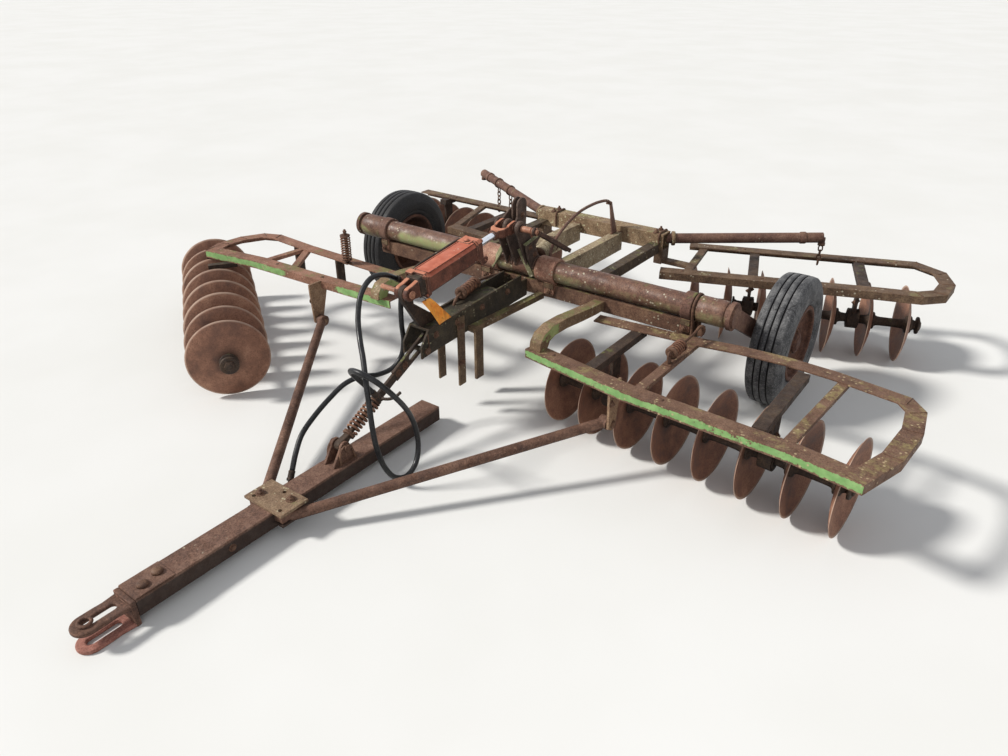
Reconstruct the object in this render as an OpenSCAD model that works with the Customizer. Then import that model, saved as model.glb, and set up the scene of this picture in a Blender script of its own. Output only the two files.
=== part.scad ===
// Trailed tandem disc harrow with two transport wheels on a rockshaft.
// The frame is +Z up, the hitch points to -Y and +X is the machine's left.
// Inside the modules y = 0 is the rockshaft axis; placed() moves the whole machine to its centre.

/* [Wheels] */
// Outside diameter of a tyre
tyre_d = 700; // [640:1:760]
// Section width of a tyre
tyre_w = 185; // [160:1:200]
// Diameter of the rim's bead seat
rim_d = 381; // [330:1:410]
// Sideways distance of a wheel's centre from the rockshaft's end
wheel_out = 140; // [136:1:160]
// Rearward place of a wheel's axle from the rockshaft
wheel_y = 490; // [460:1:500]
// Diameter of a wheel spindle
spindle_d = 40; // [30:1:50]

/* [Rockshaft] */
// Outside diameter of the rockshaft tube
shaft_od = 114.3; // [100:0.1:120]
// Half the length of the rockshaft tube
shaft_half = 1200; // [1190:1:1206]
// Height of the rockshaft axis
shaft_z = 630; // [620:1:650]
// Thickness of a wheel arm
arm_t = 22; // [16:1:24]
// Width of a wheel arm
arm_w = 90; // [70:1:100]
// Length of the rockshaft lever, from the axis to the cylinder pin
lever_r = 277; // [260:1:290]
// Lean of the lever ahead of upright
lever_lean = 28; // [20:1:32]
// Thickness of a lever plate
lever_t = 12; // [8:1:16]

/* [Frame] */
// Outside size of the square cross beam
beam_w = 76; // [60:1:80]
// Half the length of the cross beam
beam_half = 1035; // [1000:1:1060]
// Play between the rockshaft and the beam below it
shaft_play = 6; // [4:0.5:12]
// Rearward place of the rear channel's centre
rear_y = 870; // [840:1:900]
// Size of the rear channel across and high
rear_w = 96; // [80:1:110]
// Half the length of the rear channel
rear_half = 450; // [440:1:480]
// Height of the top of the rails
rail_top = 620; // [600:1:630]
// Half the space between the middles of the two rails
rail_x = 150; // [130:1:170]
// Width of a rail
rail_w = 56; // [40:1:64]
// Height of a rail
rail_h = 110; // [90:1:120]
// Wall of a rolled section
wall = 8; // [6:0.5:10]
// Diameter of a carrier tube
carrier_d = 60.3; // [50:0.1:64]
// Half the width of the centre frame
centre_half = 62; // [58:1:70]
// Height of the centre frame's side plates
centre_h = 130; // [110:1:140]
// Distance of the centre frame's front end ahead of the rockshaft
centre_front = 850; // [820:1:870]

/* [Gang frames] */
// Height of the top of the gang frames
front_top = 500; // [495:1:510]
// Width of the top face of a gang frame bar
flange_w = 80; // [60:1:90]
// Depth of the upright face of a gang frame bar
flange_h = 45; // [38:1:46]

/* [Disc gangs] */
// Diameter of a disc
disc_d = 445; // [420:1:450]
// Depth of a disc's dish
disc_sag = 46; // [30:1:60]
// Thickness of a disc
disc_t = 5; // [4:0.5:8]
// Space from disc to disc
disc_gap = 200; // [190:1:206]
// Number of discs on a front gang
front_discs = 8; // [7:1:8]
// Number of discs on a rear gang
rear_discs = 7; // [6:1:7]
// Radius of a spool's flanges
spool_flange_r = 50; // [44:1:60]
// Radius of a spool's waist
spool_waist_r = 28; // [24:1:34]
// Radial play in a gang bearing
bearing_play = 0.5; // [0.1:0.1:2]
// Outside radius of a gang bearing
bearing_r = 58; // [50:1:64]
// Width of a gang bearing
bearing_w = 62; // [50:1:80]

/* [Tongue] */
// Width of the tongue beam
tongue_w = 116; // [100:1:120]
// Height of the tongue beam
tongue_h = 76; // [60:1:80]
// Height of the tongue beam's underside
tongue_low = 40; // [30:1:60]
// Diameter of a brace pipe
brace_d = 48.3; // [42:0.1:54]
// Height of the tongue's hinge line
hinge_z = 280; // [270:1:290]
// Distance of the tongue's hinge line ahead of the rockshaft
hinge_y = 665; // [655:1:675]
// Sideways place of a brace's eye
hinge_x = 930; // [900:1:950]
// Diameter of the hitch pin's holes
hitch_bore = 33; // [28:1:36]

/* [Cylinder] */
// Across flats of the cylinder's square heads
head_w = 120; // [100:1:124]
// Diameter of the cylinder's rod
rod_d = 35; // [28:1:40]
// Diameter of the cylinder's pins
pin_d = 25.4; // [22:0.1:28]
// Distance of the base pin ahead of the rockshaft
base_y = 930; // [920:1:940]
// Height of the base pin
base_z = 765; // [755:1:775]

/* [Springs and links] */
// Wire of a frame spring
spring_wire = 9; // [7:0.5:11]
// Mean diameter of a frame spring
spring_d = 52; // [44:1:56]
// Number of coils of a frame spring
spring_coils = 6; // [4:1:7]
// Diameter of a hydraulic hose
hose_d = 20; // [18:1:22]

/* [Hidden] */
$fn = 48;
// Moves the machine so that its print on the floor is centred
centre_shift = [117.9, 483, 0];

disc_r = disc_d / 2;
beam_top = shaft_z - shaft_od / 2 - shaft_play;
beam_low = beam_top - beam_w;
arm_x = shaft_half;
wheel_x = shaft_half + wheel_out;
spool_end = 70;
pin_r = pin_d / 2;
lever_angle = 90 + lever_lean;
lever_pin = [lever_r * cos(lever_angle), shaft_z + lever_r * sin(lever_angle)];
base_pin = [-base_y, base_z];
cyl_len = norm(lever_pin - base_pin);
cyl_rise = atan2(lever_pin[1] - base_pin[1], lever_pin[0] - base_pin[0]);
bar_low = front_top - flange_h;
flange_low = front_top - wall;

// The outer edges of the gang frames seen from above, with the inside on the left of the way along
FRONT_LEFT = [[470, -637], [1030, -728], [1750, -762], [2030, -808], [2108, -570], [2130, -330],
              [2108, -150], [2035, -60], [1720, -8], [1500, 4], [1270, -12], [1080, -46], [560, -92]];
FRONT_RIGHT = [[-440, -262], [-1070, -250], [-1460, -240], [-1790, -215], [-1905, -262],
               [-1975, -400], [-1985, -560], [-1930, -697], [-1520, -640], [-440, -602]];
REAR_LEFT = [[530, 640], [1640, 1060], [1850, 1130], [1950, 1235], [1958, 1420], [1880, 1600],
             [1700, 1694], [460, 1222]];
REAR_RIGHT = [[-450, 1178], [-1740, 1192]];
REAR_RIGHT_FRONT = [[-1012, 560], [-480, 518]];

// Gangs: x and y of the first disc, heading of the axle, number of discs, side of the hollow
GANG_FL = [500, -330, -4.1, front_discs, 1];
GANG_FR = [-2206, -475, -33, front_discs, -1];
GANG_RL = [640, 1005, 18.7, rear_discs, -1];
GANG_RR = [-580, 1030, 174.3, rear_discs, -1];

// Places along each axle of its bearings, counted in discs
BEARINGS_FL = [1.5, 5.5];
BEARINGS_FR = [1.5, 2.5];
BEARINGS_RL = [1.5, 4.5];
BEARINGS_RR = [1.5, 4.5];

// Levelling link: lower pin on the tongue, upper pin on the centre frame
LINK_LOW = [-1410, 190];
LINK_TOP = [-870, 460];
link_len = norm(LINK_TOP - LINK_LOW);
link_rise = atan2(LINK_TOP[1] - LINK_LOW[1], LINK_TOP[0] - LINK_LOW[0]);

// Routes of the two hydraulic hoses: x, y and z from the fitting on the cylinder to the coupler
HOSE_LONG = [[-94, -884, 800], [-100, -955, 838], [-105, -1035, 843], [-98, -1108, 792],
             [-68, -1165, 710], [-15, -1215, 640], [60, -1275, 585], [122, -1328, 505],
             [154, -1352, 405], [172, -1362, 305], [190, -1365, 220], [210, -1352, 130],
             [228, -1312, 55], [238, -1245, 25], [232, -1175, 52], [216, -1132, 120],
             [206, -1130, 205], [208, -1158, 290], [222, -1208, 370], [238, -1272, 452],
             [242, -1335, 530], [216, -1376, 582], [152, -1393, 603], [88, -1376, 582],
             [62, -1335, 530], [61, -1286, 467], [60, -1240, 405]];
HOSE_SHORT = [[-94, -858, 715], [-98, -864, 640], [-98, -866, 550], [-98, -861, 465],
              [-103, -880, 388], [-118, -935, 338], [-142, -1015, 330], [-168, -1095, 348],
              [-188, -1185, 340], [-197, -1280, 300], [-193, -1378, 258], [-175, -1475, 215],
              [-152, -1540, 158], [-133, -1588, 95]];

function unit(v) = v / norm(v);
function perp(v) = [-v[1], v[0]];
function way(path, i) = unit(path[i + 1] - path[i]);
function miter(path, i, d, over) =
    let (last = len(path) - 1,
         a = perp(way(path, max(i - 1, 0))),
         b = perp(way(path, min(i, last - 1))),
         n = unit(a + b),
         out = i == 0 ? -way(path, 0) : i == last ? way(path, last - 1) : [0, 0])
    path[i] + n * d / (n * a) + out * over;
function strip(path, d0, d1, over = 0) =
    concat([for (i = [0:len(path) - 1]) miter(path, i, d0, over)],
           [for (i = [len(path) - 1:-1:0]) miter(path, i, d1, over)]);
function dish(r) = disc_sag * (r / disc_r) * (r / disc_r);
function along(gang, n) = [gang[0] + n * disc_gap * cos(gang[2]), gang[1] + n * disc_gap * sin(gang[2])];

// A smooth curve through the points of a route, steps pieces from point to point
function at(p, i) = i < 0 ? 2 * p[0] - p[1] : i == len(p) ? 2 * p[i - 1] - p[i - 2] : p[i];
function bent(a, b, c, d, t) =
    (2 * b + (c - a) * t + (2 * a - 5 * b + 4 * c - d) * t * t + (3 * b - a - 3 * c + d) * t * t * t) / 2;
function route(p, steps) = concat([for (i = [0:len(p) - 2], k = [0:steps - 1])
    bent(at(p, i - 1), p[i], p[i + 1], at(p, i + 2), k / steps)], [p[len(p) - 1]]);
// Normals carried along a curve without twist
function carried(t, n, i = 0) =
    i == len(t) ? [] : let (m = unit(n - t[i] * (n * t[i]))) concat([m], carried(t, m, i + 1));

// A round hose along a route
module hose(p, d, sides = 8) {
  c = route(p, 2);
  last = len(c) - 1;
  t = [for (i = [0:last]) unit(at(c, i + 1) - at(c, i - 1))];
  n = carried(t, [1, 0, 0.1]);
  polyhedron(
    points = [for (i = [0:last], k = [0:sides - 1])
      c[i] + d / 2 * (n[i] * cos(k * 360 / sides) + cross(t[i], n[i]) * sin(k * 360 / sides))],
    faces = concat([[for (k = [sides - 1:-1:0]) k]], [[for (k = [0:sides - 1]) last * sides + k]],
      [for (i = [0:last - 1], k = [0:sides - 1]) let (a = i * sides + k, b = i * sides + (k + 1) % sides)
        each [[a, b, b + sides], [a, b + sides, a + sides]]]));
}

module placed() {
  translate(centre_shift) children();
}

// A round bar from one point to another
module rod(p, q, d) {
  v = q - p;
  translate(p) rotate([0, acos(v[2] / norm(v)), atan2(v[1], v[0])]) cylinder(h = norm(v), d = d);
}

// A square bar from one point to another, w wide and h high
module flat(p, q, w, h) {
  v = q - p;
  translate(p) rotate([0, -asin(v[2] / norm(v)), atan2(v[1], v[0])]) translate([0, -w / 2, -h / 2])
    cube([norm(v), w, h]);
}

// A plate drawn in the side view, y across and z up, from x0 on and t thick
module side_plate(x0, t) {
  translate([x0, 0, 0]) rotate([90, 0, 90]) linear_extrude(t) children();
}

// An angle bar along a path, its flange inwards and its upright leg down
module angle_frame(path, z) {
  difference() {
    translate([0, 0, z - flange_h]) linear_extrude(flange_h) polygon(strip(path, 0, flange_w));
    translate([0, 0, z - flange_h - 1]) linear_extrude(flange_h - wall + 1)
      polygon(strip(path, wall, flange_w + 1, 1));
  }
}

module cross_beam() {
  color("#6b4a3a") placed() difference() {
    translate([-beam_half, -beam_w / 2, beam_low]) cube([2 * beam_half, beam_w, beam_w]);
    translate([-beam_half - 1, wall - beam_w / 2, beam_low + wall])
      cube([2 * beam_half + 2, beam_w - 2 * wall, beam_w - 2 * wall]);
  }
}

// Straps that hold the rockshaft on the beam: x of the middle and width
STRAPS = [[35 - beam_half, 50], [-212, 60], [212, 60], [beam_half - 35, 50]];
module tube_straps() {
  color("#5f4335") placed() for (s = STRAPS) side_plate(s[0] - s[1] / 2, s[1]) difference() {
    union() {
      translate([0, shaft_z]) circle(r = shaft_od / 2 + 11);
      translate([-beam_w / 2 - 10, beam_low + 20]) square([beam_w + 20, shaft_z - beam_low - 20]);
    }
    translate([0, shaft_z]) circle(r = shaft_od / 2 + 0.5);
    translate([-beam_w / 2, beam_low]) square([beam_w, beam_w]);
  }
}

// Side view of a rail's front end, cut away below the rockshaft
module rail_side(top, h, back) {
  polygon([[beam_w / 2, top - h], [back, top - h], [back, top], [68, top],
           [68, beam_top - 4], [beam_w / 2, beam_top - 4]]);
}

module main_rails() {
  color("#6d6a4c") placed() for (s = [-1, 1]) side_plate(s * rail_x - rail_w / 2, rail_w)
    rail_side(rail_top, rail_h, rear_y - rear_w / 2);
}

module side_rails() {
  color("#4d4438") placed() for (s = [-1, 1]) {
    side_plate(s > 0 ? 370 : -430, 60) difference() {
      rail_side(600, 60, rear_y - rear_w / 2);
      translate([100, 500]) square([rear_y, 600 - wall - 500]);
    }
    side_plate(s > 0 ? 422 : -430, wall) rail_side(600, 60, rear_y - rear_w / 2);
  }
}

module rear_channel() {
  color("#6e6a48") placed() difference() {
    translate([-rear_half, rear_y - rear_w / 2, 560]) cube([2 * rear_half, rear_w, rear_w]);
    translate([-rear_half - 1, rear_y - rear_w / 2 + wall, 560 - 1])
      cube([2 * rear_half + 2, rear_w - 2 * wall, rear_w - wall + 1]);
  }
}

// Carrier tubes: x, y and z of the outer end
CARRIERS = [[1215, 1380, 640], [-1310, 1360, 655]];
module carrier_tubes() {
  color("#5a4136") placed() for (c = CARRIERS) difference() {
    union() {
      rod([sign(c[0]) * 400, rear_y + 2, 612], c, carrier_d);
      rod(c, c - [0, 0, 46], 36);
    }
    translate([-rear_half, rear_y - rear_w / 2, 560]) cube([2 * rear_half, rear_w, rear_w]);
  }
}

// A chain of round links that hangs from a point
module chain(p, n) {
  for (i = [0:n - 1]) translate(p - [0, 0, 23 + i * 29]) rotate([90, 0, i % 2 * 90])
    rotate_extrude($fn = 24) translate([14, -4.5]) square([9, 9]);
}

module carrier_chains() {
  color("#4a3b33") placed() for (c = CARRIERS) chain(c - [0, 0, 46], 4);
}

module centre_frame() {
  color("#3f3a2c") placed() {
    for (s = [-1, 1]) side_plate(s > 0 ? centre_half - 10 : -centre_half, 10) polygon([
      [-centre_front - 55, 430], [-centre_front - 55, 490], [-centre_front, 565], [-90, 600],
      [-90, beam_top - 4], [-beam_w / 2, beam_top - 4], [-beam_w / 2, 470], [-centre_front, 436]]);
    translate([-centre_half + 5, -centre_front, 553]) cube([2 * centre_half - 10, 600, 12]);
    translate([-centre_half + 5, -260, 470]) cube([2 * centre_half - 10, 200, 10]);
    rod([-centre_half, LINK_TOP[0], LINK_TOP[1]], [centre_half, LINK_TOP[0], LINK_TOP[1]], pin_d);
  }
}

module cylinder_bracket() {
  color("#4b3a2c") placed() side_plate(-12, 24) difference() {
    union() {
      translate(base_pin) circle(r = 34);
      polygon([[-964, 765], [-896, 765], [-888, 700], [-770, 610], [-740, 565], [-850, 565],
               [-958, 735]]);
    }
    translate(base_pin) circle(r = pin_r + 0.5);
  }
}

module hanging_bars() {
  color("#5c5240") placed() {
    for (x = [-centre_half - 10, centre_half]) translate([x, -645, 170]) cube([10, 50, 380]);
    translate([-8, -425, 90]) cube([16, 60, 365]);
    translate([-52, -415, 455]) cube([104, 40, 16]);
    flat([centre_half + 20.2, -560, 462], [160, -beam_w / 2 - 3.4, 495], 40, 30);
  }
}

module gooseneck_arms() {
  color("#7c7f52") placed() for (x = [490, -550]) side_plate(x, 60) polygon([
    [-632, 500], [-626, 540], [-592, 576], [-520, 594], [-400, 590], [-250, 572], [-120, 556],
    [-beam_w / 2, 552], [-beam_w / 2, 506], [-120, 508], [-250, 520], [-400, 538],
    [-505, 541], [-548, 528], [-566, 500]]);
}

module front_frame_left() {
  color("#6f8a4a") placed() {
    angle_frame(FRONT_LEFT, front_top);
    flat([1070, -700, front_top - 17], [1080, -70, front_top - 17], 46, 20);
    flat([1720, -720, front_top - 17], [1768, -50, front_top - 17], 46, 20);
  }
}

module front_frame_right() {
  color("#6f8a4a") placed() {
    angle_frame(FRONT_RIGHT, front_top);
    flat([-1509, -620, front_top - 17], [-1477, -270, front_top - 17], 40, 20);
    flat([-1226, -615, front_top - 17], [-1460, -270, front_top - 17], 40, 20);
  }
}

// One bearing on an axle, with its standard up to a height
module hanger(gang, n, top) {
  c = along(gang, n);
  translate([c[0], c[1], disc_r]) rotate([0, 0, gang[2]]) difference() {
    union() {
      translate([-bearing_w / 2, 0, 0]) rotate([0, 90, 0]) cylinder(h = bearing_w, r = bearing_r);
      translate([-9, -34, 0]) cube([18, 68, top - disc_r]);
    }
    translate([-bearing_w, 0, 0]) rotate([0, 90, 0])
      cylinder(h = 2 * bearing_w, r = spool_waist_r + bearing_play);
  }
}

// Cross bars under the frames that carry the standards: x, y of both ends
module carry_bar(a, b) {
  flat([a[0], a[1], (flange_low + bar_low) / 2], [b[0], b[1], (flange_low + bar_low) / 2],
       56, flange_low - bar_low);
}

module front_hangers_left() {
  color("#3f332b") placed() {
    for (n = BEARINGS_FL) hanger(GANG_FL, n, bar_low + 12);
    for (n = BEARINGS_FL) let (c = along(GANG_FL, n)) carry_bar([c[0], -650], [c[0], -90]);
  }
}

module front_hangers_right() {
  color("#3f332b") placed() {
    for (n = BEARINGS_FR) {
      hanger(GANG_FR, n, bar_low - 10);
      c = along(GANG_FR, n);
      translate([c[0], c[1], bar_low - 28]) rotate(GANG_FR[2]) translate([-20, -34, 0])
        cube([40, 170, 28]);
    }
    translate([-1545, -318, 330]) cube([14, 60, flange_low - 330]);
    translate([-1160, -326, 330]) cube([14, 60, flange_low - 330]);
  }
}

module rear_frame_left() {
  color("#66733f") placed() {
    angle_frame(REAR_LEFT, front_top);
    flat([660, 700, front_top - 17], [560, 1230, front_top - 17], 46, 20);
    translate([400, 840, front_top - 27]) cube([240, 60, 20]);
    translate([400, rear_y - rear_w / 2, front_top - 27]) cube([50, rear_w, 560 - front_top + 27]);
  }
}

module rear_frame_right() {
  color("#66733f") placed() {
    angle_frame(REAR_RIGHT, front_top);
    angle_frame(REAR_RIGHT_FRONT, front_top);
    flat([-985, 590, front_top - 17], [-1150, 1160, front_top - 17], 46, 20);
    flat([-560, 560, front_top - 17], [-560, 1150, front_top - 17], 46, 20);
    translate([-570, 840, front_top - 27]) cube([170, 60, 20]);
    translate([-450, rear_y - rear_w / 2, front_top - 27]) cube([50, rear_w, 560 - front_top + 27]);
  }
}

module rear_hangers_left() {
  color("#3f332b") placed() {
    for (n = BEARINGS_RL) hanger(GANG_RL, n, bar_low + 12);
    let (a = along(GANG_RL, 1.5), b = along(GANG_RL, 4.5)) {
      carry_bar(a + [85, -251], a + [-82, 241]);
      carry_bar(b + [80, -237], b + [-90, 265]);
    }
  }
}

module rear_hangers_right() {
  color("#3f332b") placed() {
    for (n = BEARINGS_RR) hanger(GANG_RR, n, bar_low + 12);
    let (a = along(GANG_RR, 1.5), b = along(GANG_RR, 4.5)) {
      carry_bar(a + [0, -480], a + [0, 100]);
      carry_bar(b + [0, -60], b + [0, 55]);
    }
  }
}

module drawbar_brackets() {
  color("#8b7355") placed() for (s = [-1, 1]) {
    side_plate(s > 0 ? hinge_x + 25 : -hinge_x - 37, 12) polygon(concat(
      [[-hinge_y - 40, bar_low], [-hinge_y - 30, hinge_z - 14], [-hinge_y, hinge_z - 32],
       [-hinge_y + 30, hinge_z - 14]],
      s > 0 ? [[-hinge_y + 60, bar_low + 10], [-hinge_y + 60, flange_low], [-hinge_y - 40, flange_low]]
            : [[-hinge_y + 85, bar_low], [-620.8, bar_low], [-620.8, front_top],
               [-hinge_y - 40, front_top]]));
    rod([s * (hinge_x + 37), -hinge_y, hinge_z], [s * (hinge_x - 28), -hinge_y, hinge_z], pin_d);
  }
}

// Frame springs: hook or free upper end, and eye on the gang frame
SPRINGS = [[[1090, -64, 562], [1076, -372, 540]], [[-1036, -335, 705], [-1040, -335, 505]]];
module coil(n, d, wire) {
  for (i = [0:n - 1]) translate([0, 0, i * (wire + 3)]) rotate_extrude($fn = 24)
    translate([d / 2, 0]) circle(d = wire, $fn = 10);
  translate([-wire / 2, -d / 2, 0]) cube([wire, wire, (n - 1) * (wire + 3)]);
  translate([-wire / 2, d / 2 - wire, 0]) cube([wire, wire, (n - 1) * (wire + 3)]);
}

module lift_springs() {
  color("#6b3f2a") placed() {
    for (s = SPRINGS) {
      v = s[1] - s[0];
      n = s[0][0] > 0 ? spring_coils : 2 * spring_coils;
      rod(s[0], s[1], 14);
      translate(s[1] - v * (n * (spring_wire + 3) + 26) / norm(v))
        rotate([0, acos(v[2] / norm(v)), atan2(v[1], v[0])]) {
          coil(n, spring_d, spring_wire);
          cylinder(h = 6, r = spring_d / 2);
        }
    }
    translate([SPRINGS[0][0][0] - 12, -beam_w / 2 - 36, 520]) cube([24, 36, 46]);
    translate([SPRINGS[0][1][0] - 20, SPRINGS[0][1][1] - 20, front_top - 7]) cube([40, 40, 62]);
    translate([SPRINGS[1][1][0] - 20, SPRINGS[1][1][1] - 20, front_top]) cube([40, 40, 20]);
    translate([SPRINGS[1][0][0] - 10, SPRINGS[1][0][1] - 10, 700]) cube([20, 20, 16]);
  }
}

module rockshaft_tube() {
  color("#6b4436") placed() rotate([0, 90, 0]) translate([-shaft_z, 0, -shaft_half]) difference() {
    cylinder(h = 2 * shaft_half, d = shaft_od, $fn = 64);
    translate([0, 0, -1]) cylinder(h = 2 * shaft_half + 2, d = shaft_od - 2 * wall, $fn = 64);
  }
}

// A lever plate: boss for the cylinder pin, and a horn behind it on the tall ones
module lever(tall) {
  difference() {
    union() {
      translate(lever_pin) circle(r = 46);
      polygon([[-60, shaft_z], [lever_pin[0] - 45, lever_pin[1] - 8], [lever_pin[0] + 20, lever_pin[1] + 42],
               [0, 900], [60, shaft_z]]);
      if (tall) {
        translate([-52, 958]) circle(r = 42);
        polygon([[-94, 958], [-10, 958], [40, 720], [60, shaft_z], [-60, shaft_z], [-150, 915]]);
      }
    }
    translate(lever_pin) circle(r = pin_r + 15);
    translate([0, shaft_z]) circle(d = shaft_od + 0.5);
    translate([-200, 0]) square([400, shaft_z - 6]);
  }
}

module lever_plates() {
  color("#3b2f28") placed() {
    side_plate(-lever_t / 2, lever_t) lever(false);
    side_plate(70, lever_t) lever(true);
    side_plate(100, lever_t) lever(true);
  }
}

module wheel_arms() {
  color("#2f3327") placed() for (s = [-1, 1]) {
    side_plate(s > 0 ? arm_x : -arm_x - arm_t, arm_t) {
      translate([0, shaft_z]) circle(r = shaft_od / 2 + 12);
      translate([wheel_y, tyre_d / 2]) circle(r = arm_w / 2);
      translate([0, shaft_z]) rotate(atan2(tyre_d / 2 - shaft_z, wheel_y)) translate([0, -arm_w / 2])
        square([norm([wheel_y, shaft_z - tyre_d / 2]), arm_w]);
    }
    rod([s * (arm_x + arm_t - 1), 0, shaft_z], [s * (arm_x + arm_t + 9), 0, shaft_z], shaft_od);
    rod([s * arm_x, wheel_y, tyre_d / 2], [s * (wheel_x + 52), wheel_y, tyre_d / 2], spindle_d);
    rod([s * arm_x, wheel_y, tyre_d / 2], [s * (wheel_x - 58), wheel_y, tyre_d / 2], spindle_d + 26);
  }
}

// A wheel's parts turn about the x axis, with the outside towards +x
module at_wheel(s) {
  placed() translate([s * wheel_x, wheel_y, tyre_d / 2]) rotate([0, s * 90, 0]) children();
}

module tyre() {
  r = tyre_d / 2;
  w = tyre_w / 2;
  b = rim_d / 2 + 0.3;
  rotate_extrude($fn = 96) polygon([
    [b, -w + 20.3], [b + 16, -w + 20.3], [b + 26, -w + 11], [b + 55, -w + 2], [b + 90, -w],
    [r - 30, -w + 7], [r - 8, -w + 20], [r - 2, -w + 34], [r, -w + 60],
    [r, w - 60], [r - 2, w - 34], [r - 8, w - 20], [r - 30, w - 7],
    [b + 90, w], [b + 55, w - 2], [b + 26, w - 11], [b + 16, w - 20.3], [b, w - 20.3]]);
}

module rim() {
  w = tyre_w / 2 - 20;
  b = rim_d / 2;
  difference() {
    rotate_extrude($fn = 96) polygon([
      [b - 9, -w - 8], [b + 14, -w - 8], [b + 14, -w], [b, -w], [b, w], [b + 14, w],
      [b + 14, w + 8], [b - 9, w + 8], [b - 9, 44], [110, 34], [70, 22], [70, 36], [58, 36],
      [58, 66], [spindle_d / 2 + 0.5, 66], [spindle_d / 2 + 0.5, -52], [50, -52], [50, 10],
      [72, 12], [112, 24], [b - 9, 34]]);
    for (i = [0:4]) rotate(i * 72) translate([96, 0, 0]) cylinder(h = 60, r = 15);
  }
}

module tyre_left() {
  color("#26262a") at_wheel(1) tyre();
}

module tyre_right() {
  color("#26262a") at_wheel(-1) tyre();
}

module rim_left() {
  color("#5a4030") at_wheel(1) rim();
}

module rim_right() {
  color("#5a4030") at_wheel(-1) rim();
}

// Frame of the cylinder: +z runs from the base pin to the rod's pin
module on_cylinder() {
  placed() translate([0, base_pin[0], base_pin[1]]) rotate([cyl_rise - 90, 0, 0]) children();
}

// Elbow on the side of the cylinder's base that ends where a hose begins
module elbow(p, reach) {
  corner = p[0] - unit(route(p, 2)[1] - p[0]) * reach;
  rod([1 - head_w / 2, corner[1], corner[2]], corner - [8, 0, 0], 24);
  rod(corner, p[0], 24);
}

module cylinder_barrel() {
  color("#b8452a") placed() {
    elbow(HOSE_LONG, 52);
    elbow(HOSE_SHORT, 36);
  }
  color("#b8452a") on_cylinder() {
    difference() {
      union() {
        translate([-head_w / 2, -head_w / 2, 60]) cube([head_w, head_w, 55]);
        translate([8 - head_w / 2, 8 - head_w / 2, 115]) cube([head_w - 16, head_w - 16, 430]);
        translate([-head_w / 2, -head_w / 2, 545]) cube([head_w, head_w, 45]);
      }
      translate([0, 0, 130]) cylinder(h = 430, r = 42);
      translate([0, 0, 540]) cylinder(h = 60, r = rod_d / 2 + 0.5);
    }
    for (x = [-36, 18]) translate([x, 0, 0]) rotate([0, 90, 0]) {
      cylinder(h = 18, r = 32);
      translate([-62, -32, 0]) cube([62, 64, 18]);
    }
    translate([-145, 0, 0]) rotate([0, 90, 0]) cylinder(h = 190, r = pin_r);
  }
}

module cylinder_rod() {
  color("#b9b9bb") on_cylinder() {
    translate([0, 0, 310]) cylinder(h = 400, d = rod_d);
    translate([0, 0, 310]) cylinder(h = 35, r = 41.5);
    translate([-46, -32, 690]) cube([92, 64, 42]);
    for (x = [-46, 30]) translate([x, 0, cyl_len]) rotate([0, 90, 0]) {
      cylinder(h = 16, r = 33);
      translate([0, -32, 0]) cube([cyl_len - 720, 64, 16]);
    }
    translate([-60, 0, cyl_len]) rotate([0, 90, 0]) cylinder(h = 260, r = pin_r);
  }
}

module tongue_beam() {
  color("#6b6148") placed() difference() {
    translate([-tongue_w / 2, -2450, tongue_low]) cube([tongue_w, 1650, tongue_h]);
    translate([7 - tongue_w / 2, -2451, tongue_low + 7]) cube([tongue_w - 14, 1652, tongue_h - 14]);
  }
}

module hitch_clevis() {
  color("#6f6a60") placed() {
    translate([-tongue_w / 2, -2470, 0]) cube([tongue_w, 20, tongue_low + tongue_h]);
    for (z = [0, 82]) translate([0, 0, z]) linear_extrude(18) difference() {
      union() {
        translate([0, -2608]) circle(r = 52);
        translate([-52, -2608]) square([104, 150]);
      }
      translate([0, -2608]) circle(d = hitch_bore);
      translate([-15, -2560]) square([30, 60]);
    }
  }
}

module cross_plate() {
  color("#7d7459") placed() translate([0, -1780, tongue_low + tongue_h]) difference() {
    translate([-118, -72, 0]) cube([236, 145, 12]);
    for (p = [[-84, -46], [0, 46], [84, -46]]) translate([p[0], p[1], -1]) cylinder(h = 14, r = 9);
  }
}

module brace(s) {
  low = [s * 84, -1790, tongue_low + tongue_h - brace_d / 2 - 17];
  top = [s * hinge_x, -hinge_y, hinge_z];
  difference() {
    union() {
      rod(low, top, brace_d);
      rod(top - [s * 22, 0, 0], top + [s * 18, 0, 0], 62);
      translate([s > 0 ? tongue_w / 2 : -104, -1840, 74]) cube([104 - tongue_w / 2, 90, tongue_low + tongue_h - 74]);
    }
    rod(top - [s * 90, 0, 0], top + [s * 40, 0, 0], pin_d + 1);
  }
}

module brace_left() {
  color("#6d4f38") placed() brace(1);
}

module brace_right() {
  color("#6d4f38") placed() brace(-1);
}

module link_bracket() {
  color("#5d4634") placed() {
    for (x = [-34, 22]) side_plate(x, 12) difference() {
      union() {
        translate(LINK_LOW) circle(r = 28);
        polygon([[-1490, tongue_low + tongue_h], [-1430, 205], [-1385, 200],
                 [-1350, tongue_low + tongue_h]]);
      }
      translate(LINK_LOW) circle(r = pin_r - 0.01);
    }
    rod([-44, LINK_LOW[0], LINK_LOW[1]], [44, LINK_LOW[0], LINK_LOW[1]], pin_d);
  }
}

// Frame of the levelling link: +x runs from the lower pin to the upper pin
module on_link() {
  placed() translate([0, LINK_LOW[0], LINK_LOW[1]]) rotate([link_rise, 0, 0]) rotate([0, 0, 90]) children();
}

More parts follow.
